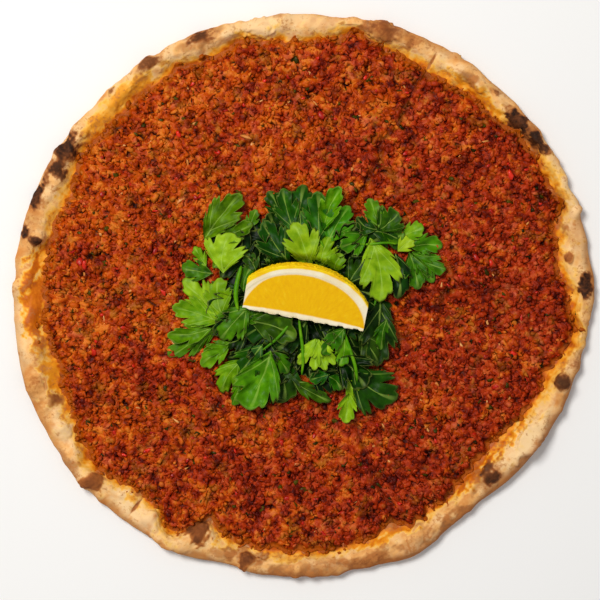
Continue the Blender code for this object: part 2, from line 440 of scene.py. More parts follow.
def dough_height(turn, reach):
    """Height of the plain inner slope: half a cosine from the crest down to where the meat begins."""
    low, high = at_turn(inner, turn), at_turn(crest, turn)
    share = np.clip((reach - high) / (low - high), 0.0, 1.0)
    return dough_top + (at_turn(height, turn) - dough_top) * (0.5 + 0.5 * np.cos(math.pi * share))


print("rim:", round(outer.mean() / MM, 1), "mm out,",
      round((outer - inner).mean() / MM, 1), "mm wide,", round(height.mean() / MM, 1), "mm high")

# %% [markdown]
# ## The dough
# The rim is a rolled edge, blown up unevenly by steam. Its section is a half ellipse outside the crest and a
# soft slope inside it, carried around the ring. Blisters are round domes laid over that, and finer waves
# wrinkle the skin. Each displacement runs along the section's own normal, so that it also swells sideways.
#
# Baking colours it: pale where flour kept it dry, gold on the crests, brown and black where blisters
# touched the oven's heat. Those marks are painted as masks, from a short list of where they lie, with edges
# that noise breaks up. Red oil from the meat stains the slope beside it, and some of the scored lines run on
# over the rim as nicks.

# %% Where the oven marked the dough
# direction and half-width in degrees, distance from the middle and half-depth in mm, strength
CHAR = (
    (2.0, 2.6, 155.5, 4.0, 1.0), (33.0, 3.0, 154.0, 3.5, 0.9), (38.5, 3.0, 151.5, 4.5, 1.1),
    (46.0, 1.0, 154.0, 2.0, 0.5), (72.0, 3.0, 152.0, 3.5, 0.45), (111.5, 2.6, 152.0, 3.4, 0.78),
    (123.5, 2.6, 152.0, 3.0, 0.62), (133.0, 0.8, 153.0, 1.5, 0.5), (148.0, 3.2, 152.0, 5.5, 0.95),
    (153.0, 2.4, 150.0, 4.5, 0.85), (159.5, 2.6, 155.0, 3.0, 1.1), (167.0, 1.3, 156.0, 2.6, 1.0),
    (168.5, 1.2, 149.0, 3.0, 0.95), (202.5, 1.2, 146.0, 3.0, 0.4), (221.5, 1.4, 155.0, 3.0, 0.5),
    (246.5, 1.6, 141.5, 4.0, 0.5), (316.0, 2.0, 143.5, 4.0, 0.85),
    (317.0, 1.6, 139.5, 2.4, 0.7), (341.5, 1.5, 151.0, 3.6, 0.78), (346.5, 1.4, 155.0, 2.4, 0.4),
)
TOAST = (
    (7.5, 1.5, 148.0, 2.0, 0.8), (14.5, 1.2, 149.5, 4.5, 0.7), (36.0, 7.0, 153.0, 6.0, 0.7),
    (52.5, 3.5, 150.0, 3.0, 0.7), (72.0, 6.0, 152.5, 5.5, 0.95),
    (95.0, 1.6, 154.0, 2.0, 0.5), (112.0, 5.0, 151.5, 6.0, 0.6), (123.5, 4.5, 152.0, 5.0, 0.6),
    (150.0, 7.0, 151.5, 7.0, 0.7), (163.0, 7.0, 153.0, 6.0, 0.45), (192.0, 4.0, 147.0, 6.0, 0.45),
    (203.0, 2.2, 146.0, 4.0, 0.7), (216.0, 3.0, 157.0, 4.0, 0.6),
    (231.0, 1.4, 141.0, 3.0, 0.7), (252.0, 2.0, 149.0, 3.0, 0.6),
    (258.0, 5.0, 147.0, 4.5, 0.8), (277.0, 11.0, 150.0, 5.5, 0.55), (296.0, 5.0, 149.0, 5.0, 0.5),
    (316.0, 4.5, 143.0, 7.5, 0.6), (341.5, 3.0, 151.0, 6.0, 0.4), (346.5, 2.6, 152.0, 3.5, 0.4),
    # these rows brown the outer edge all round, most at the lower right: toast, and painted shade along the
    # edge
    (270.0, 10.0, 153.0, 5.0, 0.7), (284.0, 8.0, 151.0, 6.0, 0.8), (304.0, 9.0, 149.0, 6.0, 0.75),
    (328.0, 12.0, 154.0, 5.0, 0.45), (352.0, 9.0, 155.0, 4.0, 0.4), (15.0, 10.0, 152.0, 5.0, 0.4),
    (60.0, 8.0, 155.0, 3.0, 0.4), (85.0, 9.0, 156.0, 3.0, 0.35),
)
OIL = (
    (12.0, 12.0, 141.0, 3.0, 0.5), (48.0, 9.0, 146.0, 4.0, 0.7), (70.0, 6.0, 143.0, 3.0, 0.6),
    (135.0, 14.0, 146.0, 6.5, 0.62), (181.0, 11.0, 147.0, 7.0, 0.95), (198.0, 10.0, 143.0, 6.0, 0.7),
    (222.0, 10.0, 143.0, 5.0, 0.6), (262.0, 12.0, 143.0, 4.0, 0.5), (285.0, 14.0, 138.0, 5.0, 0.8),
    (312.0, 14.0, 135.0, 5.0, 0.95), (335.0, 10.0, 138.0, 4.0, 0.8), (352.0, 8.0, 149.0, 4.0, 0.4),
)
PALE = (
    (20.0, 12.0, 155.0, 6.0, 0.5), (64.0, 4.0, 143.0, 5.0, 0.7), (99.0, 9.0, 147.0, 7.0, 0.9),
    (88.0, 7.0, 150.0, 5.0, 0.5), (210.0, 6.0, 147.0, 7.0, 0.9), (233.0, 8.0, 149.0, 7.0, 0.9),
    (300.0, 12.0, 152.0, 4.0, 0.5), (327.0, 9.0, 148.0, 10.0, 1.0), (187.0, 6.0, 157.0, 4.0, 0.5),
)

# scored lines that run on over the rim
NICKS = ((61.0, 0.3, 146.5, 6.0, 0.9), (66.5, 0.25, 150.0, 3.0, 0.6), (231.8, 0.35, 147.0, 7.0, 1.0))


def short_way(turn, direction):
    """Degrees from a direction to each turn, the short way around."""
    return (turn - direction + 180.0) % 360.0 - 180.0


def marks(turn, reach, table, ragged):
    """Strength of the strongest mark at each point: 1 well inside it, 0 outside, ragged at its edge."""
    total = np.zeros_like(turn)
    for direction, spread, distance, depth, strength in table:
        across = short_way(turn, direction) / spread
        along = (reach / MM - distance) / depth
        total = np.maximum(total, strength * smooth(1.45 - np.hypot(across, along) + ragged))
    return total


print(len(CHAR), "charred,", len(TOAST), "toasted,", len(OIL), "oily and", len(PALE), "floury marks")

# %% [markdown]
# The dough's surface is one grid. Its columns go around the ring and its rows follow the section, from the
# middle of the underside out, up, in and back to the middle. Carrying a section around keeps the rim's
# roundness under control, which pushing a flat disc about would not.

# %% The dough's section
UNDER_ROWS, EDGE_ROWS, SLOPE_ROWS = 8, 25, 26
CREST_ROW = UNDER_ROWS + EDGE_ROWS - 1


def dough_section():
    """Radius and height of every grid point before the blisters, as arrays (row, direction).

    Outside the crest the section is an ellipse whose lower half is squared off: at an angle t the radius
    reaches out by cos(t)^0.55 below and cos(t) above. Inside, it falls as half a cosine to the meat's bed.
    """
    under = np.linspace(0.0, 1.0, UNDER_ROWS + 1)[:-1, None] ** 0.5
    tilt = np.radians(np.linspace(-90.0, 90.0, EDGE_ROWS))[:, None]
    squared = np.where(tilt < 0.0, 0.55, 1.0)
    slope = np.linspace(0.0, 1.0, SLOPE_ROWS + 1)[1:, None]
    covered = np.array([0.97, 0.9, 0.6, 0.3, 0.0])[:, None]
    radius = np.vstack([
        crest * under,
        crest + (outer - crest) * np.cos(tilt).clip(0.0) ** squared,
        crest + slope * (inner - crest),
        inner * covered,
    ])
    rise = np.vstack([
        0.0 * crest * under,
        height / 2.0 * (1.0 + np.sin(tilt)),
        dough_top + (height - dough_top) * (0.5 + 0.5 * np.cos(math.pi * slope)),
        dough_top + 0.0 * inner * covered,
    ])
    return radius, rise


print(len(dough_section()[0]), "rows of", RING, "points, the crest in row", CREST_ROW)

# %% [markdown]
# Steam lifts the skin into blisters. The small ones fall at random, but the largest are listed, because the
# oven left them where it did. Each is a round dome, and it is laid along the section's normal, so that it
# stays round on the slope as well as on the crest.

# %% Blisters
RIM_RADIUS = 150.0 * MM             # turns degrees around the rim into a distance
# direction in degrees, distance from the middle and half-width in mm, how brown
BLISTERS = (
    (246.0, 141.0, 8.2, 0.95), (222.0, 153.0, 7.0, 0.6), (198.8, 155.0, 7.0, 0.3), (258.0, 147.0, 5.5, 0.8),
    (341.5, 151.0, 5.0, 0.0), (316.0, 142.5, 6.5, 0.0), (327.0, 147.0, 9.5, 0.0), (99.0, 147.5, 8.0, 0.0),
    (73.0, 152.0, 7.5, 0.45), (168.0, 150.0, 5.0, 0.0), (8.0, 147.5, 3.2, 0.6), (50.0, 151.0, 6.0, 0.0),
    (210.0, 150.0, 7.0, 0.0), (236.0, 149.0, 7.5, 0.0), (296.0, 146.0, 6.5, 0.0), (123.5, 152.5, 5.5, 0.0),
)


def from_middle(turn, reach, direction, place, half):
    """Distance from a blister's middle, in its own half-widths."""
    gap = short_way(turn, direction) * math.radians(1.0) * RIM_RADIUS
    return np.hypot(gap, reach - place) / half


def small_blisters(turn, across, count, size, seed):
    """Height of round domes at random places of the rim: at distance d from its middle, in its own
    half-widths, a dome rises by a quarter of its half-width times (1 - d^2)^2."""
    draw = np.random.default_rng(seed)
    places = draw.uniform((0.0, -9.0 * MM), (360.0, 12.0 * MM), (count, 2))
    sizes = size * draw.uniform(0.5, 1.0, count) * draw.choice((1.0, 1.6), count, p=(0.8, 0.2))
    total = np.zeros_like(across)
    for (direction, place), half in zip(places, sizes):
        away = np.minimum(from_middle(turn, across, direction, place, half), 1.0)
        total += 0.26 * half * (1.0 - away ** 2) ** 2
    return total


def large_blisters(turn, reach, uneven):
    """Height, brownness and pale ring of the listed blisters, whose domes are steeper at the edge: they
    rise by three tenths of the half-width times (1 - d^2)^1.3."""
    height, brown, ring = np.zeros((3, *turn.shape))
    for direction, place, half, toasted in BLISTERS:
        away = from_middle(turn, reach, direction, place * MM, half * MM) * (1.0 + 0.16 * uneven)
        height += 0.3 * half * MM * (1.0 - np.minimum(away, 1.0) ** 2) ** 1.3
        brown = np.maximum(brown, toasted * smooth((1.05 - away) / 0.55))
        ring = np.maximum(ring, toasted * np.exp(-((away - 1.05) / 0.12) ** 2))
    return height, brown, ring


print(len(BLISTERS), "large blisters, the widest", 2.0 * max(row[2] for row in BLISTERS), "mm across")

# %% [markdown]
# The ring's map is laid out in four strips, one above another, because a strip 1 m long and 6 cm wide would
# waste most of a square map. Two fans of triangles close the grid where its rows shrink to a point.

# %% The dough's faces and map
STRIPS = 4.0


def dough_faces(rows):
    """Faces of the dough's grid, whose first and last rows are one point each."""
    fan = np.arange(RING)
    after = (fan + 1) % RING
    last = (rows - 1) * RING
    return [
        quads(rows, RING, wrap=True)[RING:-RING],
        np.stack([np.full(RING, 0), RING + after, RING + fan], -1),
        np.stack([np.full(RING, last), last - RING + fan, last - RING + after], -1),
    ]


def dough_map(rows):
    """u runs around the ring, four times across the map, and v down the section, a strip higher each time."""
    u = ring_turn / 360.0 * STRIPS
    down = np.linspace(0.02, 0.98, rows)[:, None]
    return np.stack(np.broadcast_arrays(u % 1.0, (down + np.floor(u)) / STRIPS), -1).reshape(-1, 2)


print("one strip is", round(2.0 * math.pi * RIM_RADIUS / STRIPS / MM), "mm of the rim")

# %% [markdown]
# Everything that shapes the skin adds up to one swell, which moves each point along the section's normal:
# ripples of three lengths, the domes and the charred bumps, less the nicks. It fades out where the dough lies
# on the floor or under the meat. The same noise frays the marks, so that shape and colour agree.

# %% The dough's surface
def make_dough():
    """Points, map and masks of the whole dough.

    With (a, b) the step along the section and s the swell, the normal is (b, -a) over the step's length,
    and a point at radius r and height h moves to r + s b, h - s a.
    """
    radius, rise = dough_section()
    turn = np.broadcast_to(ring_turn, radius.shape)
    heading = np.radians(turn)
    flat = np.stack([radius * np.cos(heading), radius * np.sin(heading), rise], -1)
    step_out, step_up = np.gradient(radius, axis=0), np.gradient(rise, axis=0)
    length = np.hypot(step_out, step_up) + 1e-9
    path = np.cumsum(length, axis=0)
    across = path - path[CREST_ROW]

    ragged = 0.16 * ripples(flat, 5.0 * MM, 16) + 0.1 * ripples(flat, 2.0 * MM, 17, 28)
    broken = 0.3 * ripples(flat, 8.0 * MM, 18)
    uneven = ripples(flat, 8.0 * MM, 19) + 0.6 * ripples(flat, 3.0 * MM, 20)
    soaked = (9.0 + 2.5 * np.cos(np.radians(2.0 * turn - 20.0))) * MM
    near_meat = np.clip(1.02 - (radius - inner) / soaked, 0.0, 1.1) ** 1.6 + 0.5 * ragged + 0.25 * broken
    char = marks(turn, radius, CHAR, ragged + 0.4 * broken)
    nicks = marks(turn, radius, NICKS, 0.5 * broken)
    domes, brown, ring = large_blisters(turn, radius, uneven)

    swell = 0.5 * MM * ripples(flat, 17.0 * MM, 11) + 0.14 * MM * ripples(flat, 6.0 * MM, 12)
    swell += 0.035 * MM * ripples(flat, 2.2 * MM, 13, 28)
    swell += small_blisters(turn, across, 90, 4.6 * MM, 14) + small_blisters(turn, across, 160, 1.8 * MM, 15)
    swell += 0.6 * MM * char + domes - 0.9 * MM * nicks
    bare = smooth((across + 12.0 * MM) / (5.0 * MM)) * smooth((17.0 * MM - across) / (6.0 * MM))
    swell = (swell - 0.4 * MM) * bare
    radius = radius + swell * step_up / length
    rise = rise - swell * step_out / length

    points = np.stack([
        middle[0] + radius * np.cos(heading), middle[1] + radius * np.sin(heading), rise], -1)
    masks = {
        "char": char,
        "toast": np.maximum(marks(turn, radius, TOAST, 0.7 * ragged + 0.7 * broken), nicks),
        "brown": brown,
        "ring": ring,
        "oil": np.maximum(marks(turn, radius, OIL, 0.5 * broken + ragged), near_meat),
        "pale": marks(turn, radius, PALE, ragged),
        # painted shade with some toast: the outer slope darkens, most towards 300 degrees, away from the
        # window lamp
        "flank": smooth((-across / MM - 2.0) / 6.0) * (0.5 + 0.4 * np.cos(np.radians(turn - 300.0))),
        "under": 1.0 - smooth((across + 15.0 * MM) / (7.0 * MM)),
    }
    return inside(points, "crust"), dough_map(len(radius)), masks


dough_points, dough_uv, dough_masks = make_dough()
print("charred points:", int((dough_masks["char"] > 0.5).sum()), "of", len(dough_points))

# %% [markdown]
# The skin's finish starts from a baked cream, goes yellow to orange where oil soaked in, gold where it is
# toasted, and to a matt brown-black where it is charred. Fine noise mottles every one of them, because a
# baked skin is never one colour, and a dusting of flour dries some places. The outer slope is painted
# browner, most at the lower right, away from the window lamp: partly toast, partly painted shade.

# %% The dough's finish
def dough_finish():
    skin = Finish("baked_skin", Specular_IOR_Level=0.2)
    broad = skin.noise(16.0 * MM, 2.0)
    coarse = skin.noise(7.0 * MM, 3.0)
    fine = skin.noise(1.8 * MM, 4.0, 0.6)
    color = skin.ramp(
        broad * 0.5 + coarse * 0.5, (0.38, srgb(216, 142, 72)), (0.48, srgb(240, 178, 106)),
        (0.6, srgb(248, 204, 146)))
    color = skin.mix(skin.mask("pale") * 0.75, color, srgb(254, 220, 168))
    oil = skin.mask("oil") + coarse * 0.4 + fine * 0.2 - 0.3
    stain = skin.ramp(
        oil, (0.1, srgb(250, 208, 136)), (0.4, srgb(250, 190, 84)), (0.65, srgb(242, 156, 28)),
        (0.85, srgb(220, 118, 8)), (1.0, srgb(186, 84, 2)))
    color = skin.mix(skin.between(oil, -0.02, 0.4), color, stain)
    toasted = skin.ramp(fine * 0.6 + coarse * 0.4, (0.4, srgb(140, 74, 32)), (0.6, srgb(204, 132, 66)))
    color = skin.mix(skin.between(skin.mask("toast") + fine * 0.5 + coarse * 0.5, 0.62, 1.35), color, toasted)
    speck = skin.between(fine * 0.6 + coarse * 0.4 + skin.mask("toast") * 0.08, 0.54, 0.66)
    color = skin.mix(speck * 0.55, color, srgb(172, 98, 50))
    # painted shade with some toast: the outer slope goes brown, most at the lower right
    color = skin.mix(skin.mask("flank") + coarse * 0.6 - 0.3, color, srgb(168, 98, 44))
    bottom = skin.ramp(coarse, (0.38, srgb(118, 70, 34)), (0.6, srgb(214, 160, 100)))
    color = skin.mix(skin.mask("under"), color, bottom)
    brown = skin.mask("brown") + coarse * 0.7 + fine * 0.5 - 0.6
    dome = skin.ramp(brown, (0.2, srgb(214, 146, 76)), (0.55, srgb(172, 100, 46)), (0.95, srgb(104, 54, 24)))
    color = skin.mix(skin.between(brown, 0.0, 0.45), color, dome)
    color = skin.mix(skin.mask("ring") * 0.35, color, srgb(250, 212, 150))
    char = skin.mask("char") + fine * 0.6 + coarse * 0.3 - 0.45
    color = skin.mix(skin.between(char, 0.02, 0.5) * 0.9, color, srgb(146, 80, 36))
    burnt = skin.ramp(fine * 0.5 + coarse * 0.5, (0.42, srgb(36, 18, 8)), (0.64, srgb(104, 56, 26)))
    color = skin.mix(skin.between(char, 0.34, 0.9), color, burnt)
    skin.feed(
        Base_Color=color,
        Roughness=0.85 - skin.mask("oil") * 0.35,
        Normal=skin.bump(fine, 0.3 * MM, 0.4),
    )
    return skin


make_piece("rolled_dough", dough_points, dough_faces(len(dough_points) // RING), dough_finish(),
           "baked_dough", "crust", dough_uv, **dough_masks)

# %% [markdown]
# ## The meat
# The topping is minced meat that baked together: thousands of crumbs, two to four millimetres wide, finer
# than rice. Modelled one by one they would cost far too much, so the layer is relief on a core. Over each
# point stands the highest of the rounded lumps nearby, one lump to each cell of a lattice, moved, stretched
# and turned at random. Two sizes of lump are laid over each other, and low places between them are painted
# dark, as shade and dark oil.
#
# A round layer is awkward to grid: rings crowd at the middle. Six wedges of triangles don't, if each ring
# of a wedge has one point more than the ring inside it. The bread is scored into six slices anyway, so each
# slice is a piece, and the shallow cuts between them follow the solids.

# %% Lumps
meat_low, meat_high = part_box("meat_topping")
REACH = 165.0 * MM                                  # the lattices of lumps cover at least this far out


def lumps(x, y, spacing, seed):
    """Height and tone of the highest lump over each place.

    A lump whose middle is d of its own half-widths away reaches its level plus its height times (1 - d^3).
    """
    half_count = math.ceil(REACH / spacing) + 2
    cells = (2 * half_count + 1, 2 * half_count + 1)
    draw = np.random.default_rng(seed)
    shift_x, shift_y = draw.uniform(-0.42, 0.42, (2, *cells))
    half = spacing * draw.uniform(0.52, 0.86, cells)
    slim = draw.uniform(0.58, 1.0, cells)
    turn = draw.uniform(0.0, math.pi, cells)
    level = spacing * draw.normal(0.0, 0.13, cells)
    tone = draw.uniform(0.0, 1.0, cells)
    column = np.floor(x / spacing).astype(int)
    row = np.floor(y / spacing).astype(int)
    best = np.full(x.shape, -np.inf)
    best_tone = np.zeros(x.shape)
    for i in (-1, 0, 1):
        for j in (-1, 0, 1):
            cell = (column + i + half_count, row + j + half_count)
            dx = x - (column + i + 0.5 + shift_x[cell]) * spacing
            dy = y - (row + j + 0.5 + shift_y[cell]) * spacing
            long, wide = turned(dx, dy, -turn[cell])
            away = np.hypot(long / half[cell], wide / (half[cell] * slim[cell]))
            top = level[cell] + 0.62 * half[cell] * (1.0 - away ** 3)
            higher = top > best
            best = np.where(higher, top, best)
            best_tone = np.where(higher, tone[cell], best_tone)
    return best, best_tone


print("each lattice spans", round(2.0 * REACH / MM), "mm")

# %% [markdown]
# The cook scored the bread into six before baking, and the cuts closed again more in some places than in
# others, so each has its own strength. The meat's edge is frayed, because it was spread by hand.

# %% Scored lines and the meat's edge
CUTS = (2.0, 61.0, 122.0, 182.0, 231.0, 292.0)      # directions of the scored lines, in degrees
CUT_MARKS = (0.7, 1.0, 0.45, 0.4, 0.6, 0.8)         # how much of each cut the baking left visible
CUT_WIDTH = 1.9 * MM
FRAY_RADIUS = 140.0 * MM                            # the edge's fraying is read off a circle of this radius


def polar(x, y):
    """Direction in degrees and distance of places measured from the bread's middle."""
    return np.degrees(np.arctan2(y, x)), np.hypot(x, y)


def near_cut(x, y):
    """1 along the scored lines, 0 a few millimetres beside them; the lines waver a little.

    Beside a line the value is its strength times exp(-d^2), with d the distance in widths of a cut.
    """
    place = np.stack([x, y], -1)
    wander = 1.1 * MM * ripples(place, 22.0 * MM, 31) + 0.4 * MM * ripples(place, 5.0 * MM, 32)
    found = np.zeros_like(x)
    for turn, mark in zip(CUTS, CUT_MARKS):
        ahead, beside = turned(x, y, -math.radians(turn))
        found = np.maximum(found, mark * np.exp(-((beside + wander) / CUT_WIDTH) ** 2) * (ahead > 0.0))
    return found * smooth((np.hypot(x, y) - 12.0 * MM) / (20.0 * MM))


def meat_edge(turn):
    """How far out the meat reaches: the frame's edge, frayed by a millimetre or two."""
    heading = np.radians(turn)
    ring = FRAY_RADIUS * np.stack([np.cos(heading), np.sin(heading)], -1)
    fray = 1.0 * MM * ripples(ring, 16.0 * MM, 41) + 0.7 * MM * ripples(ring, 6.0 * MM, 42)
    return at_turn(inner, turn) - 1.4 * MM + fray


def at_edge(x, y):
    """0 in the middle of the layer, 1 where it ends, over the last few millimetres."""
    turn, reach = polar(x, y)
    return smooth((reach - meat_edge(turn) + 3.0 * MM) / (4.5 * MM))


edge = meat_edge(ring_turn)
print("the meat reaches", round(edge.min() / MM), "to", round(edge.max() / MM), "mm out")

# %% [markdown]
# Two sizes of lump, a slow swell, the cuts and a fine grain add up to the layer's height. The same numbers
# tell the finish which lump a point belongs to and how deep it lies. One side of the bread is painted lighter
# and more orange than the other, as painted light from the lamp's side, over patches where oil and pepper
# gathered.

# %% The meat's surface
def meat_surface(x, y):
    """Height of the meat over (x, y), measured from the bread's middle, with its tone and depth masks.

    Towards the edge the layer sinks into the dough, so that only its higher lumps stand out of it.
    """
    place = np.stack([x, y], -1)
    warp = 0.45 * MM * np.stack([ripples(place, 3.4 * MM, 21), ripples(place, 3.4 * MM, 22)], -1)
    wx, wy = x + warp[..., 0], y + warp[..., 1]
    coarse, coarse_tone = lumps(wx, wy, 3.3 * MM, 23)
    fine, fine_tone = lumps(wx, wy, 1.9 * MM, 24)
    fine = fine - 0.25 * MM + 0.3 * MM * ripples(place, 6.0 * MM, 25)
    relief = np.maximum(np.maximum(coarse, fine), -1.9 * MM)
    tone = np.where(coarse > fine, coarse_tone, fine_tone)
    knots = ripples(place, 10.0 * MM, 27)
    depth = smooth((0.62 * MM - 0.4 * MM * knots - relief) / (1.35 * MM))
    swell = 0.35 * MM * ripples(place, 34.0 * MM, 26) + 0.3 * MM * knots
    grain = 0.07 * MM * ripples(place, 0.95 * MM, 28, 28)
    cut = near_cut(x, y)
    level = meat_high.z - 1.0 * MM + 0.8 * swell - 1.3 * MM * cut
    turn, reach = polar(x, y)
    skin = dough_height(turn, reach) - 1.6 * MM
    level = skin + (level - skin) * smooth((meat_edge(turn) + 1.5 * MM - reach) / (5.0 * MM))
    # depth is painted shade in the gaps between lumps and along the scored lines, where some dark oil also
    # lies
    return level + 1.1 * relief + grain, tone, np.maximum(depth, 0.7 * cut)


def warmth_and_side_light(x, y):
    """1 where pepper and oil turned the meat orange, 0 where it fried brown-red; painted light also makes the
    left lighter and more orange.
    """
    place = np.stack([x, y], -1)
    # painted light: the left side is made lighter and more orange, as if lit more
    painted_light_lean = (0.45 * y - x) / (230.0 * MM)
    patches = 0.16 * ripples(place, 45.0 * MM, 51) + 0.2 * ripples(place, 9.0 * MM, 52)
    return smooth(0.45 + 0.6 * painted_light_lean + patches)


line = np.linspace(20.0, 120.0, 400) * MM
print("relief along a line:", round(np.ptp(meat_surface(line, 0.3 * line)[0]) / MM, 1), "mm")

# %% [markdown]
# A slice is a closed piece: its top is the triangle of rings, a wall follows the border down, and one flat
# face closes it below. The top could be a square grid, cut to shape, but its edge would then be a staircase.

# %% The grid of a slice
SLICE_RINGS = 270


def slice_grid():
    """Ring number and share of the sweep of each point, the faces, and the border's points in order.

    Ring i has i + 1 points and starts at number i (i + 1) / 2. The border runs down the left side, along the
    last ring and back up the right side; its copy, numbered after all the rings, carries the wall's foot.
    """
    rings = np.arange(SLICE_RINGS + 1)
    left = rings * (rings + 1) // 2
    right = left + rings
    ring = np.repeat(rings, rings + 1)
    share = (np.arange(len(ring)) - left[ring]) / np.maximum(ring, 1)
    a = np.flatnonzero(ring < SLICE_RINGS)
    b = a + ring[a] + 1
    along = a[(share[a] < 1.0 - 1e-9) & (ring[a] > 0)]
    border = np.concatenate([left, np.arange(left[-1] + 1, right[-1]), right[:0:-1]])
    foot = len(ring) + np.arange(len(border))
    faces = [
        np.stack([a, b, b + 1], -1),
        np.stack([along, along + ring[along] + 2, along + 1], -1),
        np.stack([border, foot, np.roll(foot, -1), np.roll(border, -1)], -1),
        foot[None, ::-1],
    ]
    return ring, share, faces, border


slice_ring, slice_share, slice_faces, slice_border = slice_grid()
print("a slice has", len(slice_ring), "points on top and", len(slice_border), "around its border")

# %% [markdown]
# The meat's finish reads the masks. A lump's tone picks a colour from dark fried brown-red to the orange of
# pepper paste; the warm and lit mask shifts whole regions, with patches where oil and pepper gathered and a
# painted light that makes the left side lighter and more orange than the right; and low places fall to a
# near-black that is painted shade as well as thick red oil. It is moist, so its roughness is low and uneven.

# %% The meat's finish
def meat_finish(name):
    mince = Finish(name, Specular_IOR_Level=0.12)
    fine = mince.noise(0.8 * MM, 3.0, 0.6)
    patch = mince.noise(4.5 * MM, 2.0)
    broad = mince.noise(13.0 * MM, 2.0)
    # this mask holds patches of oil and pepper, and painted light that lightens the left side
    warm = mince.mask("warm")
    tone = mince.mask("tone") * 0.6 + warm * 0.16 + fine * 0.45 + patch * 1.5 + broad * 1.1 - 1.32
    red = mince.ramp(
        tone, (0.0, srgb(72, 6, 0)), (0.28, srgb(132, 30, 0)), (0.6, srgb(174, 50, 6)),
        (0.84, srgb(188, 68, 20)), (1.0, srgb(202, 92, 44)))
    orange = mince.ramp(
        tone, (0.0, srgb(90, 20, 0)), (0.28, srgb(150, 48, 0)), (0.6, srgb(188, 70, 2)),
        (0.84, srgb(204, 90, 10)), (1.0, srgb(220, 118, 32)))
    color = mince.mix(mince.between(warm * 0.6 + broad * 0.7 + patch * 0.7, 0.78, 1.15), red, orange)
    fried = mince.ramp(tone, (0.1, srgb(58, 20, 0)), (0.6, srgb(122, 60, 2)), (1.0, srgb(156, 86, 12)))
    color = mince.mix(mince.between(mince.noise(9.0 * MM, 2.0), 0.54, 0.68) * 0.7, color, fried)
    pink = mince.ramp(tone, (0.1, srgb(108, 22, 8)), (0.6, srgb(178, 62, 34)), (1.0, srgb(206, 96, 66)))
    color = mince.mix(mince.between(mince.noise(6.2 * MM, 2.0), 0.55, 0.68) * 0.55, color, pink)
    thin = mince.between(mince.mask("thin") + patch * 0.8 - 0.4, 0.3, 1.0)
    color = mince.mix(thin * 0.85, color, srgb(172, 84, 4))
    # painted shade and dark oil: low places and the scored lines fall to near-black
    color = mince.mix(mince.mask("depth") * (0.95 - thin * 0.4), color, srgb(34, 2, 0))
    mince.feed(
        Base_Color=color,
        Roughness=0.6 - fine * 0.4,
        Normal=mince.bump(fine * 0.7 + patch * 0.3, 0.5 * MM, 0.8),
    )
    return mince


meat = meat_finish("baked_mince")
print(len(meat.tree.nodes), "nodes in the meat's finish")

# %% [markdown]
# Each slice stretches that grid between two scored lines and lifts it to the meat's height. The points that
# two slices share are worked out from the same place, so no gap opens between them.

# %% Slices
def make_slice(number, start, sweep):
    """One slice: its rings reach the meat's edge, in equal steps of radius and of direction."""
    turn = start + sweep * slice_share
    radius = (meat_edge(turn) + 3.0 * MM) * slice_ring / SLICE_RINGS
    x = radius * np.cos(np.radians(turn))
    y = radius * np.sin(np.radians(turn))
    top, tone, depth = meat_surface(x, y)
    flat = np.stack([x, y], -1)
    points = np.column_stack([
        np.vstack([flat, flat[slice_border]]) + middle,
        np.concatenate([
            np.maximum(top, meat_low.z - 0.2 * MM), np.full(len(slice_border), meat_low.z - 0.25 * MM)])])
    masks = {"tone": tone, "depth": depth, "warm": warmth_and_side_light(x, y), "thin": at_edge(x, y)}
    masks = {name: np.concatenate([mask, mask[slice_border]]) for name, mask in masks.items()}
    make_piece(
        f"topping_slice_{number}", points, slice_faces, meat, "baked_mince", "meat_topping", **masks)


ends = CUTS[1:] + (CUTS[0] + 360.0,)
for number, (start, end) in enumerate(zip(CUTS, ends), start=1):
    make_slice(number, start, end - start)

# %% [markdown]
# ## Loose crumbs
# On top of the relief lie real crumbs, which throw small shadows and overhang the gaps. Each is a sphere of
# twenty-eight faces, squeezed into an ellipsoid and dented by sine waves of its own. All copies are made at
# once: the small sphere's points are one axis of an array and the crumbs the other. They are dropped on a
# lattice whose points were moved about, sparser at the meat's edge, where some have rolled onto the dough.
#
# Red pepper, herb scraps and slivers of onion are the same idea with other proportions.

# %% Many small things as one piece
def small_sphere(rows, columns):
    """Points of a coarse unit sphere, pole first and last, with its faces.

    At an angle a from the pole a ring has the radius sin(a) and the height cos(a).
    """
    drop_angle = np.linspace(0.0, math.pi, rows + 1)[1:-1, None]
    turn = circle(columns)
    rings = np.stack(np.broadcast_arrays(
        np.sin(drop_angle) * np.cos(turn), np.sin(drop_angle) * np.sin(turn), np.cos(drop_angle)), -1)
    points = np.vstack([[0.0, 0.0, 1.0], rings.reshape(-1, 3), [0.0, 0.0, -1.0]])
    ring = np.arange(columns)
    after = (ring + 1) % columns
    last = len(points) - 1
    top = np.stack([np.zeros(columns, int), 1 + ring, 1 + after], -1)
    bottom = np.stack([np.full(columns, last), last - columns + after, last - columns + ring], -1)
    return points, [quads(rows - 1, columns, wrap=True)[:, ::-1] + 1, np.vstack([top, bottom])]


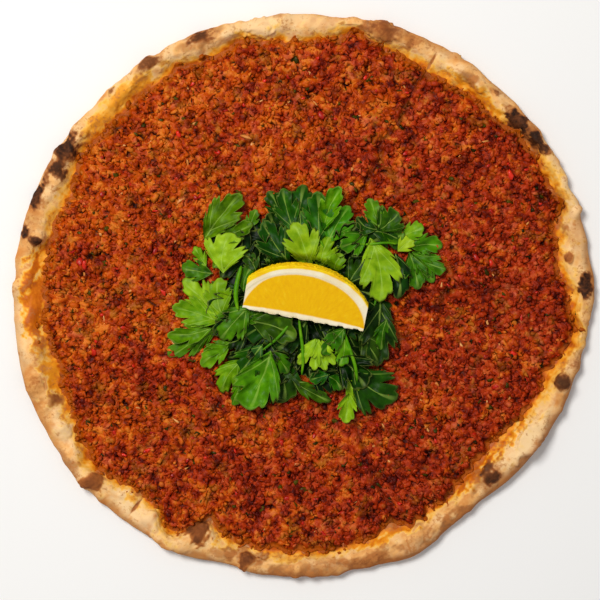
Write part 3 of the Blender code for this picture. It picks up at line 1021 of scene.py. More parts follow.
def scatter(name, places, sizes, tones, finish, seed, rows=4, columns=7, dents=0.55, tilt=0.6):
    """One piece with a squeezed, dented, turned sphere at each place; sizes are its three half-widths.

    A dent is the mean of three sine waves that cross the sphere in random directions.
    """
    draw = np.random.default_rng(seed)
    count = len(places)
    unit, faces = small_sphere(rows, columns)
    wave = draw.normal(0.0, 2.0, (count, 3, 3))
    phase = draw.uniform(0.0, 2.0 * math.pi, (count, 1, 3))
    bulge = 1.0 + dents * np.sin(unit[None] @ wave + phase).mean(-1) * 1.7
    shape = unit[None] * bulge[..., None] * sizes[:, None]
    lean_x, lean_y = draw.normal(0.0, tilt, (2, count, 1))
    spin = draw.uniform(0.0, 2.0 * math.pi, (count, 1))
    x, y, z = shape[..., 0], shape[..., 1], shape[..., 2]
    y, z = turned(y, z, lean_x)
    z, x = turned(z, x, lean_y)
    x, y = turned(x, y, spin)
    points = (np.stack([x, y, z], -1) + places[:, None]).reshape(-1, 3)
    masks = {
        # depth darkens the lower side of each crumb: painted shade under it
        "tone": np.repeat(tones, len(unit)), "depth": np.tile(smooth(0.25 - 0.8 * unit[:, 2]), count),
        "warm": warmth_and_side_light(points[:, 0], points[:, 1]), "thin": at_edge(points[:, 0], points[:, 1]),
    }
    every = [copied(group, count, len(unit)) for group in faces]
    make_piece(name, points, every, finish, "baked_mince", "meat_topping", **masks)


print("a crumb has", sum(len(group) for group in small_sphere(4, 7)[1]), "faces")

# %% [markdown]
# Crumbs are dropped where the lattice says, less often at the edge and in the cuts, and never under the
# parsley, where nobody would see them. They sit on the meat's own height or, outside it, on the dough's.

# %% The crumbs
UNDER_LEAVES = (2.0 * MM, -6.0 * MM, 44.0 * MM)     # x, y and radius of what the parsley hides


def drop(spacing, seed, keep, inward, lift):
    """Places for crumbs, on a lattice shaken at random, on the meat's surface or on the dough beside it.

    keep is the share of lattice points used on the meat. It falls to nothing a centimetre outside the edge.
    """
    draw = np.random.default_rng(seed)
    steps = np.arange(-REACH, REACH, spacing)
    x, y = np.meshgrid(steps, steps)
    x = (x + draw.uniform(-0.48, 0.48, x.shape) * spacing).ravel()
    y = (y + draw.uniform(-0.48, 0.48, y.shape) * spacing).ravel()
    turn, reach = polar(x, y)
    outside = (reach - meat_edge(turn)) / MM
    chance = keep * (0.02 * smooth((9.0 - outside) / 6.0) + 0.98 * smooth((inward - outside) / 5.0))
    hidden = np.hypot(x - UNDER_LEAVES[0], y - UNDER_LEAVES[1]) < UNDER_LEAVES[2]
    stay = (draw.uniform(size=len(x)) < chance * (1.0 - 0.9 * near_cut(x, y))) & ~hidden
    x, y, turn, reach = x[stay], y[stay], turn[stay], reach[stay]
    top = meat_surface(x, y)[0]
    top = np.maximum(top, dough_height(turn, reach) + 0.5 * lift) - 0.8 * MM * near_cut(x, y)
    top = np.minimum(top + lift, meat_high.z + 0.5 * MM)
    return np.column_stack([x + middle[0], y + middle[1], top]), draw


def crumbs(number, spacing, seed, keep, width, low_tone, high_tone):
    """One kind of loose crumb: its width in metres and its range of tones."""
    places, draw = drop(spacing, seed, keep, 4.0, 0.04 * width)
    half = 0.5 * width * draw.uniform(0.72, 1.28, (len(places), 1))
    sizes = half * draw.uniform((1.0, 0.65, 0.55), (1.5, 1.0, 0.85), (len(places), 3))
    tones = draw.uniform(low_tone, high_tone, len(places))
    scatter(f"crumbs_{number}", places, sizes, tones, meat, seed)


# spacing and width in mm, lowest and highest tone
KINDS = ((4.5, 2.9, 0.2, 1.1), (4.4, 2.5, -0.1, 0.8), (4.4, 2.1, 0.0, 1.1), (4.3, 1.8, -0.1, 1.0))
for number, (spacing, width, low_tone, high_tone) in enumerate(KINDS, start=1):
    crumbs(number, spacing * MM, 60 + number, 0.9, width * MM, low_tone, high_tone)

# %% [markdown]
# The largest bits of red pepper lie where they caught the eye, so their places are listed. The smaller ones,
# the herbs and the onion fall anywhere. They are a little longer and flatter than the crumbs, and they are
# pressed into the meat, because they were mixed into it before it was spread.

# %% Pepper, herbs and onion
# where the largest pieces of red pepper lie, in mm from the origin
PEPPER = np.array((
    (112.9, 65.5), (9.9, 98.4), (-81.7, 24.4), (-122.8, 18.4), (-120.5, 16.6), (-60.3, 54.0), (-69.0, 88.5),
    (-12.1, -80.3), (-115.6, -31.0), (-86.0, -85.2), (75.1, -39.2), (84.9, 10.7), (94.8, 20.6), (115.1, 25.5),
))


def speck_finish(name, dark, light, shine):
    """One small ingredient, a little lighter in places; shine is its Specular level."""
    speck = Finish(name, Specular_IOR_Level=shine)
    fine = speck.noise(1.2 * MM, 3.0)
    tone = speck.mask("tone") * 0.6 + fine * 0.4
    speck.feed(
        Base_Color=speck.ramp(tone, (0.2, dark), (0.8, light)),
        Roughness=0.5 - fine * 0.3,
        Normal=speck.bump(fine, 0.2 * MM, 0.5),
    )
    return speck


def sprinkle(name, spacing, seed, keep, half, spread, finish, extra=None):
    """Scatter one ingredient; half is its mean half-width on each axis, spread how much that varies."""
    places, draw = drop(spacing, seed, keep, -3.0, 0.4 * half[2])
    if extra is not None:
        spots = extra * MM - middle
        heights = np.minimum(meat_surface(spots[:, 0], spots[:, 1])[0] + 0.6 * MM, meat_high.z + 0.8 * MM)
        places = np.vstack([np.column_stack([extra * MM, heights]), places])
    sizes = np.array(half) * draw.uniform(1.0 - spread, 1.0 + spread, (len(places), 3))
    if extra is not None:
        sizes[:len(extra)] = np.array(half) * 1.5
    tones = draw.uniform(0.0, 1.0, len(places))
    scatter(name, places, sizes, tones, finish, seed, rows=5, columns=8, tilt=0.25)


pepper = speck_finish("red_pepper", srgb(150, 12, 2), srgb(226, 44, 18), 0.35)
herb = speck_finish("dried_herb", srgb(26, 20, 0), srgb(84, 72, 4), 0.1)
onion = speck_finish("fried_onion", srgb(206, 120, 44), srgb(236, 176, 104), 0.3)
sprinkle("red_pepper_bits", 13.0 * MM, 65, 0.6, (1.5 * MM, 0.9 * MM, 0.5 * MM), 0.45, pepper, PEPPER)
sprinkle("herb_scraps", 10.0 * MM, 66, 0.6, (1.5 * MM, 1.0 * MM, 0.45 * MM), 0.45, herb)
sprinkle("onion_slivers", 22.0 * MM, 67, 0.7, (1.9 * MM, 0.6 * MM, 0.5 * MM), 0.4, onion,
         np.array(((-31.2, 86.9), (-68.0, 51.8))))

# %% [markdown]
# ## The parsley
# A leaflet of flat parsley has a middle vein, and rays that leave it on both sides, slanting forward, out to
# a toothed edge. So one leaflet is a grid of rays and steps along them. Its outline is a broad curve; each
# ray is then shortened where two of the three or five lobes meet, which is where a cosine passes through
# zero, and again, less deeply, between the teeth. The blade is folded along the middle vein, corrugated
# between the lobes and curled. The two halves share the points of the vein.
#
# The bunch is laid leaf by leaf, as a cook would: each line of the list says where a leaflet starts, where
# its tip points, how wide and how high it lies and how light and how olive it is. Every leaflet drapes over
# the heap's own height, and a leaf near the lemon stays below it. Each is a closed shell, a quarter of a
# millimetre thick. Leaflets painted dark as shade, at random places, fill the heap below, over a core painted
# near-black as shade.

# %% The bunch, leaf by leaf
# stalk x, y and tip x, y and width in mm, level in the heap, lightness, how olive, lobes
LEAVES = np.array((
    (-56, 28, -33, 55, 16, 1, 0.55, 0.8, 5), (-50, 29, -28, 40, 10, 1, 0.5, 0.7, 3),
    (-55, 26, -39, 33, 10, 0, 0.25, 0.5, 3), (-44, 12, -37, 34, 21, 3, 0.9, 0.7, 5),
    (-50, 15, -43, 23, 9, 2, 0.5, 0.8, 3), (-53, 15, -60, 27, 7, 1, 0.8, 0.5, 3),
    (-49, 12, -67, 17, 11, 1, 0.5, 0.4, 3), (-43, -14, -45, 10, 14, 2, 0.7, 0.8, 5),
    (-44, -12, -65, 11, 15, 2, 0.88, 0.7, 5), (-44, -15, -72, -6, 15, 2, 0.75, 0.6, 5),
    (-45, -16, -76, -32, 12, 1, 0.6, 0.5, 5), (-48, -17, -75, -23, 10, 1, 0.6, 0.6, 3),
    (-29, -5, -46, -24, 17, 3, 0.55, 0.4, 5), (-31, -14, -4, -23, 16, 2, 0.4, 0.75, 3),
    (-37, -12, -22, -7, 9, 2, 0.5, 0.4, 3), (-39, -27, -56, -39, 11, 1, 0.7, 0.5, 3),
    (-39, -25, -55, -31, 8, 1, 0.6, 0.5, 3), (-18, -29, -35, -61, 23, 3, 0.65, 0.3, 5),
    (-32, -34, -46, -53, 13, 2, 0.75, 0.6, 5), (-35, -42, -38, -61, 6, 1, 0.6, 0.4, 3),
    (-22, -26, -38, -44, 15, 2, 0.42, 0.2, 5), (-18, -30, -9, -43, 9, 2, 0.5, 0.3, 3),
    (-16, -50, -26, -60, 9, 1, 0.3, 0.4, 3), (-10, -44, 15, -58, 8, 2, 0.45, 0.7, 3),
    (14, -43, 3, -46, 8, 2, 0.45, 0.0, 3), (13, -44, 21, -51, 9, 2, 0.45, 0.1, 3),
    (7, -22, -3, -38, 7, 3, 0.95, 0.6, 3), (7, -22, 5, -41, 7, 3, 0.95, 0.6, 3),
    (8, -22, 12, -41, 7, 3, 0.95, 0.6, 3), (9, -23, 17, -38, 6, 3, 0.95, 0.6, 3),
    (24, -16, 10, -33, 9, 3, 0.5, 0.2, 3), (22, -19, 13, -27, 9, 2, 0.3, 0.3, 3),
    (22, -23, 20, -39, 9, 3, 0.75, 0.3, 3), (29, -18, 39, -38, 11, 2, 0.25, 0.8, 5),
    (42, 1, 40, -39, 18, 1, 0.2, 0.4, 5), (46, -11, 43, -32, 9, 2, 0.5, 0.3, 3),
    (26, -40, 51, -57, 24, 1, 0.3, 0.3, 5), (23, -46, 36, -57, 14, 2, 0.9, 0.6, 3),
    (25, -52, 23, -70, 10, 1, 0.85, 0.7, 3), (-12, 40, -20, 57, 11, 1, 0.3, 0.3, 3),
    (-4, 32, -11, 59, 13, 2, 0.4, 0.2, 5), (0, 28, -1, 61, 16, 2, 0.35, 0.1, 5),
    (8, 27, 7, 57, 17, 2, 0.45, 0.1, 5), (10, 33, 19, 60, 11, 2, 0.7, 0.3, 3),
    (12, 27, 25, 49, 15, 2, 0.65, 0.1, 5), (-7, 17, -22, 41, 17, 1, 0.3, 0.1, 5),
    (-8, 18, -21, 19, 9, 1, 0.3, 0.2, 3), (-30, 36, -26, 47, 7, 1, 0.5, 0.5, 3),
    (3, 14, -6, 40, 18, 3, 0.8, 0.9, 5), (8, 13, 13, 34, 14, 3, 0.8, 0.8, 5),
    (16, 12, 20, 23, 10, 3, 0.7, 0.7, 3), (41, 36, 35, 53, 10, 2, 0.6, 0.5, 3),
    (41, 36, 28, 42, 9, 2, 0.3, 0.3, 3), (40, 35, 49, 48, 16, 2, 0.4, 0.5, 5),
    (42, 35, 55, 33, 11, 2, 0.5, 0.5, 3), (35, 34, 20, 25, 13, 2, 0.6, 0.2, 5),
    (35, 33, 41, -4, 21, 3, 0.85, 0.7, 5), (36, 35, 55, 27, 13, 2, 0.3, 0.3, 3),
    (53, 33, 65, 39, 10, 1, 0.75, 0.5, 3), (57, 25, 62, 3, 12, 1, 0.5, 0.3, 3),
    (58, 25, 71, 7, 10, 1, 0.55, 0.3, 3), (58, 25, 77, 12, 12, 1, 0.55, 0.3, 5),
    (57, 26, 76, 28, 11, 1, 0.6, 0.3, 3), (51, 24, 60, 31, 9, 2, 0.9, 1.0, 3),
    (49, 25, 51, -2, 12, 2, 0.15, 0.1, 3), (-26, 13, -32, 23, 9, 1, 0.4, 0.6, 3),
    (-24, 22, -14, 34, 12, 0, 0.2, 0.3, 3), (-33, 2, -28, 16, 10, 1, 0.5, 0.3, 3),
))
HEAP = np.array((-2.0, -5.0)) * MM
leaf_low, leaf_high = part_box("parsley_bunch")
print(len(LEAVES), "leaflets, heap", round((leaf_high.z - leaf_low.z) / MM, 1), "mm high")

# %% [markdown]
# Two heights decide where a leaf may be: the heap's own, a flat dome, and the wedge's lower cut face above
# it. The wedge is placed by the middle of the fruit that it was cut from.

# %% The heap and the wedge over it
WEDGE_TURN = math.radians(-10.8)
WEDGE_AXIS = np.array((-2.0, -14.4, 21.0)) * MM     # middle of the fruit, on the wedge's core edge
WEDGE_LEFT, WEDGE_RIGHT = -32.2 * MM, 34.2 * MM     # its trimmed tips, from there
FRUIT = np.array((40.0, 32.2)) * MM                 # half length and radius of the whole lemon
HEAP_REACH, HEAP_RISE = 76.0 * MM, 6.6 * MM
LEVEL_STEP = 1.15 * MM                              # between one level of leaves and the next


def heap_height(x, y):
    """Height of the heap: a flat dome over the meat, a little uneven."""
    away = np.hypot(x - HEAP[0], y - HEAP[1])
    dome = HEAP_RISE * (1.0 - smooth(away / HEAP_REACH))
    return leaf_low.z + 2.2 * MM + dome + 0.5 * MM * ripples(np.stack([x, y], -1), 17.0 * MM, 71)


def under_wedge(x, y):
    """Height of the wedge's lower cut face over (x, y); it climbs steeply just outside the wedge.

    The face drops by 0.424 for each unit that (x, y) lies out from the core, the tangent of 23 degrees.
    """
    along, out = turned(x - WEDGE_AXIS[0], y - WEDGE_AXIS[1], -WEDGE_TURN)
    reach = FRUIT[1] * np.sqrt(np.clip(1.0 - (along / FRUIT[0]) ** 2, 0.0, 1.0))
    past_tips = np.maximum(np.maximum(WEDGE_LEFT - along, along - WEDGE_RIGHT), 0.0)
    return WEDGE_AXIS[2] - 0.424 * out + 2.5 * (np.maximum(out - reach, 0.0) + past_tips)


print("the heap is", round((heap_height(*HEAP) - leaf_low.z) / MM, 1), "mm high in the middle")

# %% [markdown]
# All leaflets of a group are computed together: leaf, step and ray are the three axes of one array. The plan
# comes first, seen from above. Cutting the rays short gives lobes and teeth without any drawn outline, and a
# little noise on the rays' positions makes no two leaflets alike.

# %% A leaflet's plan
RAYS, STEPS = 61, 10
ray = np.linspace(-1.0, 1.0, RAYS)[None, None]
step = np.linspace(0.0, 1.0, STEPS)[None, :, None]


def leaf_plan(table, draw):
    """Places x and y of every point, how far forward and sideways it lies, and its place in the lobes.

    A ray at position a, from -1 to 1 around the edge, ends at 1 - 0.9 |a|^1.15 of the length and at
    sin(0.985 pi |a|^0.85)^0.8 of the half-width. It starts on the middle vein, further back. With p the
    position times half the number of lobes, a lobe's share of the ray is 1 - (1 - |cos(pi p)|)^2.2.
    """
    count = len(table)
    start, tip = table[:, 0:2] * MM, table[:, 2:4] * MM
    length = np.linalg.norm(tip - start, axis=1)[:, None, None]
    width = leaf_width(table)
    end = 1.0 - 0.9 * np.abs(ray) ** 1.15
    side = 0.5 * width / length * np.sin(0.985 * math.pi * np.abs(ray) ** 0.85) ** 0.8
    origin = np.clip(end - 0.9 * side - 0.35 * (1.0 - np.abs(ray)), 0.0, 1.0)
    uneven = draw.normal(0.0, 0.05, (count, 1, 1))
    uneven = uneven * np.sin(math.pi * (ray + draw.uniform(-1, 1, (count, 1, 1))))
    pattern = (ray + uneven) * table[:, 8, None, None] / 2.0
    notch = draw.uniform(0.3, 0.5, (count, 1, 1))
    lobe = 1.0 - (1.0 - np.abs(np.cos(math.pi * pattern))) ** 2.2
    teeth = np.abs(np.cos(3.0 * math.pi * pattern))
    cut = step * (1.0 - notch + notch * lobe) * (0.84 + 0.16 * teeth)
    forward = origin + (end - origin) * cut
    sideways = length * np.sign(ray) * side * cut
    sideways = sideways + draw.normal(0.0, 0.1, (count, 1, 1)) * width * (forward - forward ** 2) * 4.0
    heading = (tip - start)[:, None, None] / length[..., None]
    x = start[:, 0, None, None] + length * forward * heading[..., 0] - sideways * heading[..., 1]
    y = start[:, 1, None, None] + length * forward * heading[..., 1] + sideways * heading[..., 0]
    return x, y, length, forward, sideways, pattern


def leaf_width(table):
    """Width of each leaflet, a little more than listed, as the cuts between lobes make it look slimmer."""
    return 1.2 * table[:, 4, None, None] * MM


print("a leaflet's grid has", STEPS, "steps of", RAYS, "rays")

# %% [markdown]
# Fresh leaves don't lie flat, so a leaflet takes the heap's height below it and adds its own fold, waves and
# curl. Where it would run into the lemon it stays just under the lower cut face.

# %% A leaflet's height
def leaf_height(table, draw, seed, x, y, length, sideways, pattern):
    """Height of every point: the heap's, plus the leaflet's level, its fold, its waves and its curl.

    The fold grows with the distance from the middle vein, the waves are deepest between the lobes, and the
    curl grows with the third power of the step along a ray.
    """
    count = len(table)
    fold = draw.uniform(-0.1, 0.35, (count, 1, 1))
    corrugate = draw.uniform(0.0, 1.0, (count, 1, 1)) * 0.05 * leaf_width(table)
    curl = draw.normal(0.0, 0.07, (count, 1, 1)) * length
    rise = fold * np.abs(sideways) + corrugate * step * (1.0 - np.abs(np.cos(math.pi * pattern)) ** 2)
    rise = rise + curl * step ** 3 + 0.55 * MM * ripples(np.stack([x, y], -1), 9.0 * MM, seed)
    z = heap_height(x, y) + LEVEL_STEP * (table[:, 5, None, None] - 1.0) + rise
    z = np.minimum(z, under_wedge(x, y) - 0.8 * MM)
    return np.clip(z, leaf_low.z + 1.5 * MM, leaf_high.z - 0.1 * MM)


def leaf_sheets():
    """Which grid points are used, upper sheet first, and the faces of both sheets between them.

    The two halves of a leaflet share the points of the middle vein, and the two sheets share the edge.
    """
    index = np.arange(STEPS * RAYS).reshape(STEPS, RAYS)
    index[0] = np.minimum(index[0], index[0, ::-1])
    other = index + STEPS * RAYS
    other[-1], other[:, 0], other[:, -1] = index[-1], index[:, 0], index[:, -1]
    sheets = [
        np.stack([sheet[a:STEPS - 1 + a, b:RAYS - 1 + b] for a, b in corners], -1).reshape(-1, 4)
        for sheet, corners in (
            (index, ((0, 0), (1, 0), (1, 1), (0, 1))), (other, ((0, 0), (0, 1), (1, 1), (1, 0))))]
    used, slim = np.unique(np.concatenate(sheets).ravel(), return_inverse=True)
    return used, slim.reshape(-1, 4)


leaf_used, leaf_faces = leaf_sheets()
print("a leaflet has", len(leaf_used), "points and", len(leaf_faces), "faces")

# %% [markdown]
# A leaf is darker where it is old and in the shade, and more yellow where it is young, so two greens are
# mixed by how olive a leaflet is. Its veins follow the rays down the middle of every lobe and fade towards
# the edge. The sheen is slight, because parsley's skin is matt.

# %% The leaves' finish
def leaf_finish():
    leaf = Finish("fresh_leaf", Specular_IOR_Level=0.1)
    blotch = leaf.noise(5.0 * MM, 3.0)
    fine = leaf.noise(0.8 * MM, 2.0)
    light = leaf.mask("light") + blotch * 0.6 - 0.4
    green = leaf.ramp(
        light, (0.0, srgb(3, 26, 0)), (0.3, srgb(16, 74, 0)), (0.6, srgb(56, 134, 2)),
        (1.0, srgb(142, 196, 28)))
    olive = leaf.ramp(
        light, (0.0, srgb(14, 30, 0)), (0.3, srgb(50, 80, 0)), (0.6, srgb(110, 148, 0)),
        (1.0, srgb(178, 208, 36)))
    color = leaf.mix(leaf.mask("olive"), green, olive)
    wave = (leaf.mask("pattern") * math.pi).through("COSINE").through("ABSOLUTE")
    reach = leaf.mask("reach")
    vein = leaf.between(wave, 0.985, 0.9998) * (1.0 - reach * reach)
    vein = vein + leaf.between(reach, 0.08, 0.0)
    color = leaf.mix(vein * 0.4, color, srgb(176, 210, 90))
    color = leaf.mix(leaf.between(reach, 0.9, 1.0) * 0.25, color, srgb(186, 208, 90))
    leaf.feed(
        Base_Color=color,
        Roughness=0.5 - fine * 0.2,
        Normal=leaf.bump(vein * -0.5 + blotch * 0.5, 0.4 * MM, 0.5),
    )
    return leaf


leaf = leaf_finish()
print(len(leaf.tree.nodes), "nodes in the leaves' finish")

# %% [markdown]
# A group of leaflets becomes one piece. The lower sheet lies a quarter of a millimetre below the upper one
# and meets it at the edge, as a solid with a real thickness does. On the map every leaflet has a tile.

# %% Leaflets
def make_leaves(name, table, seed, finish):
    """A group of leaflets, one for each row of the table, as closed shells in one piece."""
    draw = np.random.default_rng(seed)
    count = len(table)
    x, y, length, forward, sideways, pattern = leaf_plan(table, draw)
    z = leaf_height(table, draw, seed, x, y, length, sideways, pattern)
    thick = 0.26 * MM * (1.0 - step ** 8) * (1.0 - ray ** 8)

    def per_point(values, lower=None):
        both = [np.broadcast_to(sheet, (count, STEPS, RAYS)).reshape(count, -1)
                for sheet in (values, values if lower is None else lower)]
        return np.concatenate(both, 1)[:, leaf_used].ravel()

    points = np.stack([per_point(x), per_point(y), per_point(z, z - thick)], -1)
    tiles = math.ceil(math.sqrt(count))
    cell = np.stack([np.arange(count) % tiles, np.arange(count) // tiles], -1)[:, None]
    across = sideways / leaf_width(table) * 0.9 + 0.5
    local = np.stack([per_point(forward), per_point(across)], -1).reshape(count, -1, 2)
    uv = ((cell + 0.04 + 0.92 * local) / tiles).reshape(-1, 2)
    make_piece(
        name, points, [copied(leaf_faces, count, len(leaf_used))], finish,
        "parsley_leaf", "parsley_bunch", uv,
        light=per_point(table[:, 6, None, None]), olive=per_point(table[:, 7, None, None]),
        pattern=per_point(pattern), reach=per_point(step))


lighter = LEAVES[:, 6] > 0.52
make_leaves("parsley_light", LEAVES[lighter], 81, leaf)
make_leaves("parsley_dark", LEAVES[~lighter], 82, leaf)

# %% [markdown]
# The filling is 80 small leaflets at random places and low levels, painted dark as shade. They point roughly
# outwards, as the leaves of a bunch do, and they show only through the gaps between the listed ones.

# %% The filling
FILLERS = 80
draw = np.random.default_rng(83)
turn = draw.uniform(0.0, 2.0 * math.pi, FILLERS)
away = 38.0 * np.sqrt(draw.uniform(0.0, 1.0, FILLERS))
point_to = turn + draw.normal(0.0, 0.9, FILLERS)
size = draw.uniform(15.0, 25.0, FILLERS)
x, y = HEAP[0] / MM + away * np.cos(turn), HEAP[1] / MM + away * np.sin(turn)
# a low lightness paints the fillers dark: painted shade in the gaps between leaves
make_leaves("parsley_filler", np.column_stack([
    x, y, x + size * np.cos(point_to), y + size * np.sin(point_to), size * draw.uniform(0.55, 0.85, FILLERS),
    draw.uniform(-1.4, 0.4, FILLERS), draw.uniform(0.0, 0.32, FILLERS), draw.uniform(0.0, 0.6, FILLERS),
    draw.choice((3.0, 5.0), FILLERS)]), 84, leaf)

# %% [markdown]
# Under the leaves lies a smaller core, painted near-black as shade, so that the gaps between leaves look
# shaded. The stalks are round tubes: a circle of points is carried along an arched path from one end to the
# other.

# %% Core and stalks
STALKS = np.array((                  # from x, y to x, y, thickness in mm, level
    (-35, 16, -35, -8, 2.6, 3), (-1, -12, -3, -43, 1.8, 3), (24, -20, 27, -47, 2.0, 2),
    (-6, -10, -22, -30, 1.6, 2), (30, 30, 50, 26, 1.5, 2), (-46, -15, -30, -10, 1.7, 1),
    (10, 25, 2, 34, 1.5, 2), (46, 20, 40, -8, 1.6, 1),
))


def make_core():
    """A low dome with an uneven outline, closed underneath, well inside the leaves.

    Its height over the heap's floor is multiplied by (1 - r^6)^0.5, with r the share of the outline's radius.
    """
    rows, columns = 26, 120
    turn = circle(columns)
    unit = np.stack([np.cos(turn), np.sin(turn)], -1)
    outline = 42.0 * MM + 2.5 * MM * ripples(unit, 0.9, 91)
    share = np.linspace(0.02, 1.0, rows - 1)[:, None]
    x = HEAP[0] + outline * share * unit[:, 0]
    y = HEAP[1] + outline * share * unit[:, 1]
    z = heap_height(x, y) - 3.4 * MM + 0.5 * MM * ripples(np.stack([x, y], -1), 5.0 * MM, 92)
    floor_z = leaf_low.z + 0.1 * MM
    z = np.minimum(z, under_wedge(x, y) - 1.5 * MM)
    z = floor_z + np.maximum(z - floor_z, 0.2 * MM) * np.sqrt(1.0 - share ** 6)
    under = np.stack([x[0], y[0], 0.0 * turn + floor_z], -1)
    points = np.concatenate([np.stack([x, y, z], -1), under[None]]).reshape(-1, 3)
    faces = [group[:, ::-1] for group in tube(rows, columns)]
    each = np.zeros(len(points))
    # a lightness below 0 paints the core near-black: painted shade for the gaps
    make_piece("parsley_shade_core", points, faces, leaf, "parsley_leaf", "parsley_bunch",
               light=each - 0.1, olive=each + 0.3, pattern=each + 0.5, reach=each + 0.5)


def make_stalks():
    """Round tubes along arched paths, closed at both ends.

    At a share s of the way a tube's radius is its half-thickness times sin(pi s)^0.25, so that its ends are
    round, and it sways sideways as a sine.
    """
    rows, columns = 24, 10
    along = np.linspace(0.0, 1.0, rows)[None, :, None]
    start, end = STALKS[:, None, None, 0:2] * MM, STALKS[:, None, None, 2:4] * MM
    turn = circle(columns)[None, None]
    middle_line = start + (end - start) * along[..., None]
    heading = (end - start) / np.linalg.norm(end - start, axis=-1, keepdims=True)
    side = np.stack([-heading[..., 1], heading[..., 0]], -1)
    half = 0.5 * STALKS[:, 4, None, None] * MM * np.sin(math.pi * along.clip(0.001, 0.999)) ** 0.25
    sway = 2.0 * MM * np.sin(math.pi * along + STALKS[:, 0, None, None])
    flat = middle_line + side * (half * np.cos(turn))[..., None] + side * sway[..., None]
    x, y = middle_line[..., 0], middle_line[..., 1]
    z = heap_height(x, y) + LEVEL_STEP * STALKS[:, 5, None, None]
    z = np.minimum(z, under_wedge(x, y) - 1.5 * MM).clip(leaf_low.z + MM, leaf_high.z - 1.5 * MM)
    z = z + half * np.sin(turn)
    points = np.concatenate([flat, z[..., None]], -1).reshape(-1, 3)
    faces = [copied(group, len(STALKS), rows * columns) for group in tube(rows, columns)]
    each = np.ones(len(points))
    make_piece("parsley_stalks", points, faces, leaf, "parsley_leaf", "parsley_bunch",
               light=0.72 * each, olive=0.25 * each, pattern=0.5 * each, reach=0.5 * each)


make_core()
make_stalks()

# %% [markdown]
# ## The lemon
# The wedge is an eighth of a fruit that is close to an ellipsoid of revolution. Its section, at any place
# along the core, is a slice of pie: a narrow core strip, the lower cut face, the peel's arc and the upper cut
# face. That section is carried along the core while its radius follows the ellipse, and both trimmed tips are
# closed by shrinking it to a point.

# %% The wedge's section
UPPER, LOWER = math.radians(22.0), math.radians(-23.0)
CORE_HALF = 0.6 * MM                                # half width of the trimmed core strip
TRIM_ROWS, BODY_ROWS = 21, 190                      # rows across each trimmed tip and between them


def wedge_section(radius):
    """Points (row, column, 2) around the section at each radius: out, up, and then back along the top.

    A place on a cut face is a distance from the core along the face's direction; a place on the peel is the
    radius along a direction between the two. The strip stands where the two faces are as far apart as it is
    wide.
    """
    core = CORE_HALF / math.tan((UPPER - LOWER) / 2.0)
    start = core / math.cos((UPPER - LOWER) / 2.0)
    strip = np.linspace(-1.0, 1.0, 5)[None, :-1] * CORE_HALF
    first = np.stack(turned(0.0 * strip + core, strip, (UPPER + LOWER) / 2.0), -1)
    low = start + (radius - start) * np.linspace(0.0, 1.0, 61)[None, 1:-1]
    arc = LOWER + (UPPER - LOWER) * np.linspace(0.0, 1.0, 61)[None]
    back = radius + (start - radius) * np.linspace(0.0, 1.0, 81)[None, 1:-1]
    parts = [
        np.broadcast_to(first, (len(radius), *first.shape[1:])),
        low[..., None] * np.array((math.cos(LOWER), math.sin(LOWER))),
        radius[..., None] * np.stack([np.cos(arc), np.sin(arc)], -1),
        back[..., None] * np.array((math.cos(UPPER), math.sin(UPPER))),
    ]
    return np.concatenate(parts, 1)


def wedge_grid():
    """Points (row, column, 3) of the smooth wedge, along, out and up from the fruit's middle, and their rows'
    size: 1 between the tips, less where a tip closes."""
    shrink = np.linspace(0.02, 1.0, TRIM_ROWS + 1)[:-1]
    body = np.linspace(WEDGE_LEFT, WEDGE_RIGHT, BODY_ROWS)
    along = np.concatenate([0.0 * shrink + WEDGE_LEFT, body, 0.0 * shrink + WEDGE_RIGHT])
    size = np.concatenate([shrink, np.ones(BODY_ROWS), shrink[::-1]])[:, None]
    radius = FRUIT[1] * np.sqrt(1.0 - (along / FRUIT[0]) ** 2)
    hub = np.stack([0.5 * radius, 0.0 * radius], -1)[:, None]
    section = hub + (wedge_section(radius[:, None]) - hub) * size[..., None]
    return np.concatenate([np.broadcast_to(along[:, None, None], (*section.shape[:2], 1)), section], -1), size


wedge_points, wedge_size = wedge_grid()
print("the wedge's grid has", wedge_points.shape[0], "rows of", wedge_points.shape[1], "points")

# %% [markdown]
# Colour follows from depth. At every point the distance to the fruit's skin is worked out from the
# ellipsoid's equation. Shallow is the yellow zest, then comes the white pith, then the flesh, whose vesicles
# lie along rays from the core. The same depth says where the surface is peel, which is dimpled, and where
# it is flesh, which has shrunk back a little from the pith.

# %% The wedge's relief
def skin_depth(points):
    """Distance to the fruit's skin: what the ellipsoid's equation lacks to 1, over its gradient's length."""
    axes = np.array((FRUIT[0], FRUIT[1], FRUIT[1]))
    level = np.sqrt(((points / axes) ** 2).sum(-1))
    steep = np.sqrt(((points / axes ** 2) ** 2).sum(-1)) / level
    return (1.0 - level) / steep


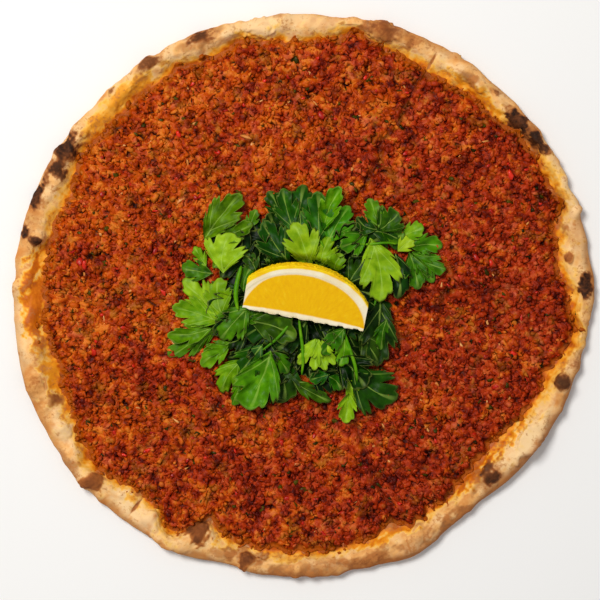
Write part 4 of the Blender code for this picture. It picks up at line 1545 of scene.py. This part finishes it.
def wedge_relief(points, size, depth, on_strip):
    """The points moved by the nibbled core strip, the peel's dimples and the flesh's vesicles.

    The peel moves along the ellipsoid's normal, a cut face up or down, and the strip outwards.
    """
    nibble = 0.45 * MM * smooth(0.8 * ripples(points[..., :1], 9.0 * MM, 101, 12) - 0.2)
    nibble += 0.1 * MM * ripples(points, 3.0 * MM, 104)
    inward = np.zeros_like(points)
    inward[..., 1] = on_strip * nibble
    on_peel = smooth(1.0 - depth / (0.6 * MM))
    dimple = 0.16 * MM * ripples(points, 2.2 * MM, 102, 40) * on_peel
    pulp = 0.02 * MM * ripples(points * np.array((1.0, 0.35, 0.35)), 1.7 * MM, 103, 40)
    pulp = (pulp - 0.3 * MM) * smooth((depth - 4.0 * MM) / (1.2 * MM)) * (1.0 - on_strip)
    facing = np.sign(points[..., 2:3]) * np.array((0.0, 0.0, 1.0))
    outward = points * np.array((0.6, 1.0, 1.0))
    outward = outward / np.linalg.norm(outward, axis=-1, keepdims=True)
    whole = (size == 1.0)
    sunk = (0.2 * MM - dimple * whole) * on_peel
    return points + inward - outward * sunk[..., None] + facing * (pulp * whole)[..., None]


wedge_depth = skin_depth(wedge_points)
print(int((wedge_depth < 0.6 * MM).sum()), "of", wedge_depth.size, "points are on the peel")

# %% [markdown]
# The wedge leans on the heap, turned a little, so its points are turned and moved onto the middle of the
# fruit. Its map is the grid itself: along the core one way, around the section the other.

# %% The wedge in its place
def make_wedge(points, size, depth):
    """Points, map and masks of the wedge on its place, from the smooth wedge's."""
    rows, columns = depth.shape
    column = np.arange(columns)
    on_strip = smooth(1.3 - np.minimum(column, columns - column) / 8.0)[None]
    points = wedge_relief(points, size, depth, on_strip)
    masks = {
        "depth": depth / MM, "strip": on_strip + 0.0 * depth,
        "ray": np.arctan2(points[..., 0], 6.0 * MM + points[..., 1]) * 10.0,
        "out": np.hypot(points[..., 0], points[..., 1]) / MM,
        "along": points[..., 0] / MM,
    }
    x, y = turned(points[..., 0], points[..., 1], WEDGE_TURN)
    placed = np.stack([x, y, points[..., 2]], -1) + WEDGE_AXIS
    u, v = np.meshgrid(np.linspace(0.0, 1.0, rows), np.linspace(0.0, 1.0, columns), indexing="ij")
    masks = {name: mask.ravel() for name, mask in masks.items()}
    return inside(placed, "lemon_wedge"), np.stack([u, v], -1).reshape(-1, 2), masks


lemon_points, lemon_uv, lemon_masks = make_wedge(wedge_points, wedge_size, wedge_depth)
print("the wedge stands", round((lemon_points[:, 2].max() - leaf_low.z) / MM, 1), "mm over the leaves' floor")

# %% [markdown]
# Lemon flesh is wet and pith is dry, so the roughness follows the same mask as the colour. The vesicles are
# noise that is stretched along the rays: it reads a direction and a distance from the core, not a place.

# %% The lemon's finish
def lemon_finish():
    lemon = Finish("lemon", Specular_IOR_Level=0.22)
    soft = lemon.noise(7.0 * MM, 2.0)
    fine = lemon.noise(1.1 * MM, 3.0)
    rays = lemon.node("ShaderNodeCombineXYZ", None, {
        "X": lemon.mask("ray"), "Y": lemon.mask("out") * 0.16, "Z": 0.0})
    cells = lemon.node("ShaderNodeTexNoise", None, {
        "Vector": rays, "Scale": 1.6, "Detail": 4.0, "Roughness": 0.62}, "Fac")
    along = lemon.mask("along")
    depth = lemon.mask("depth") + soft * 0.7 + fine * 0.4 - 0.55
    rind = depth + along * 0.022
    tip = lemon.between(along, -20.0, -36.0)
    flesh = lemon.ramp(
        cells * 0.8 + soft * 0.2, (0.36, srgb(240, 180, 0)), (0.6, srgb(246, 192, 2)),
        (0.76, srgb(252, 210, 42)))
    pith = lemon.ramp(soft, (0.3, srgb(246, 228, 182)), (0.7, srgb(252, 242, 214)))
    zest = lemon.ramp(
        soft * 0.7 + fine * 0.3, (0.35, srgb(246, 190, 0)), (0.62, srgb(255, 222, 10)))
    wet = lemon.between(depth - tip * 2.6, 4.7, 5.7) * (1.0 - lemon.between(lemon.mask("strip"), 0.05, 0.5))
    color = lemon.mix(wet, pith, flesh)
    color = lemon.mix(lemon.between(rind, 1.3, 2.1), zest, color)
    lemon.feed(
        Base_Color=color,
        Roughness=0.5 - wet * 0.22,
        Normal=lemon.bump(cells * wet * 0.5 + fine * 0.5, 0.2 * MM, 0.4),
    )
    return lemon


make_piece("lemon_slice", lemon_points, tube(*wedge_points.shape[:2]), lemon_finish(),
           "lemon_flesh_and_peel", "lemon_wedge", lemon_uv, **lemon_masks)

# %% [markdown]
# ## The size
# The finished pieces should fill the box of the plain solids and stay inside it.
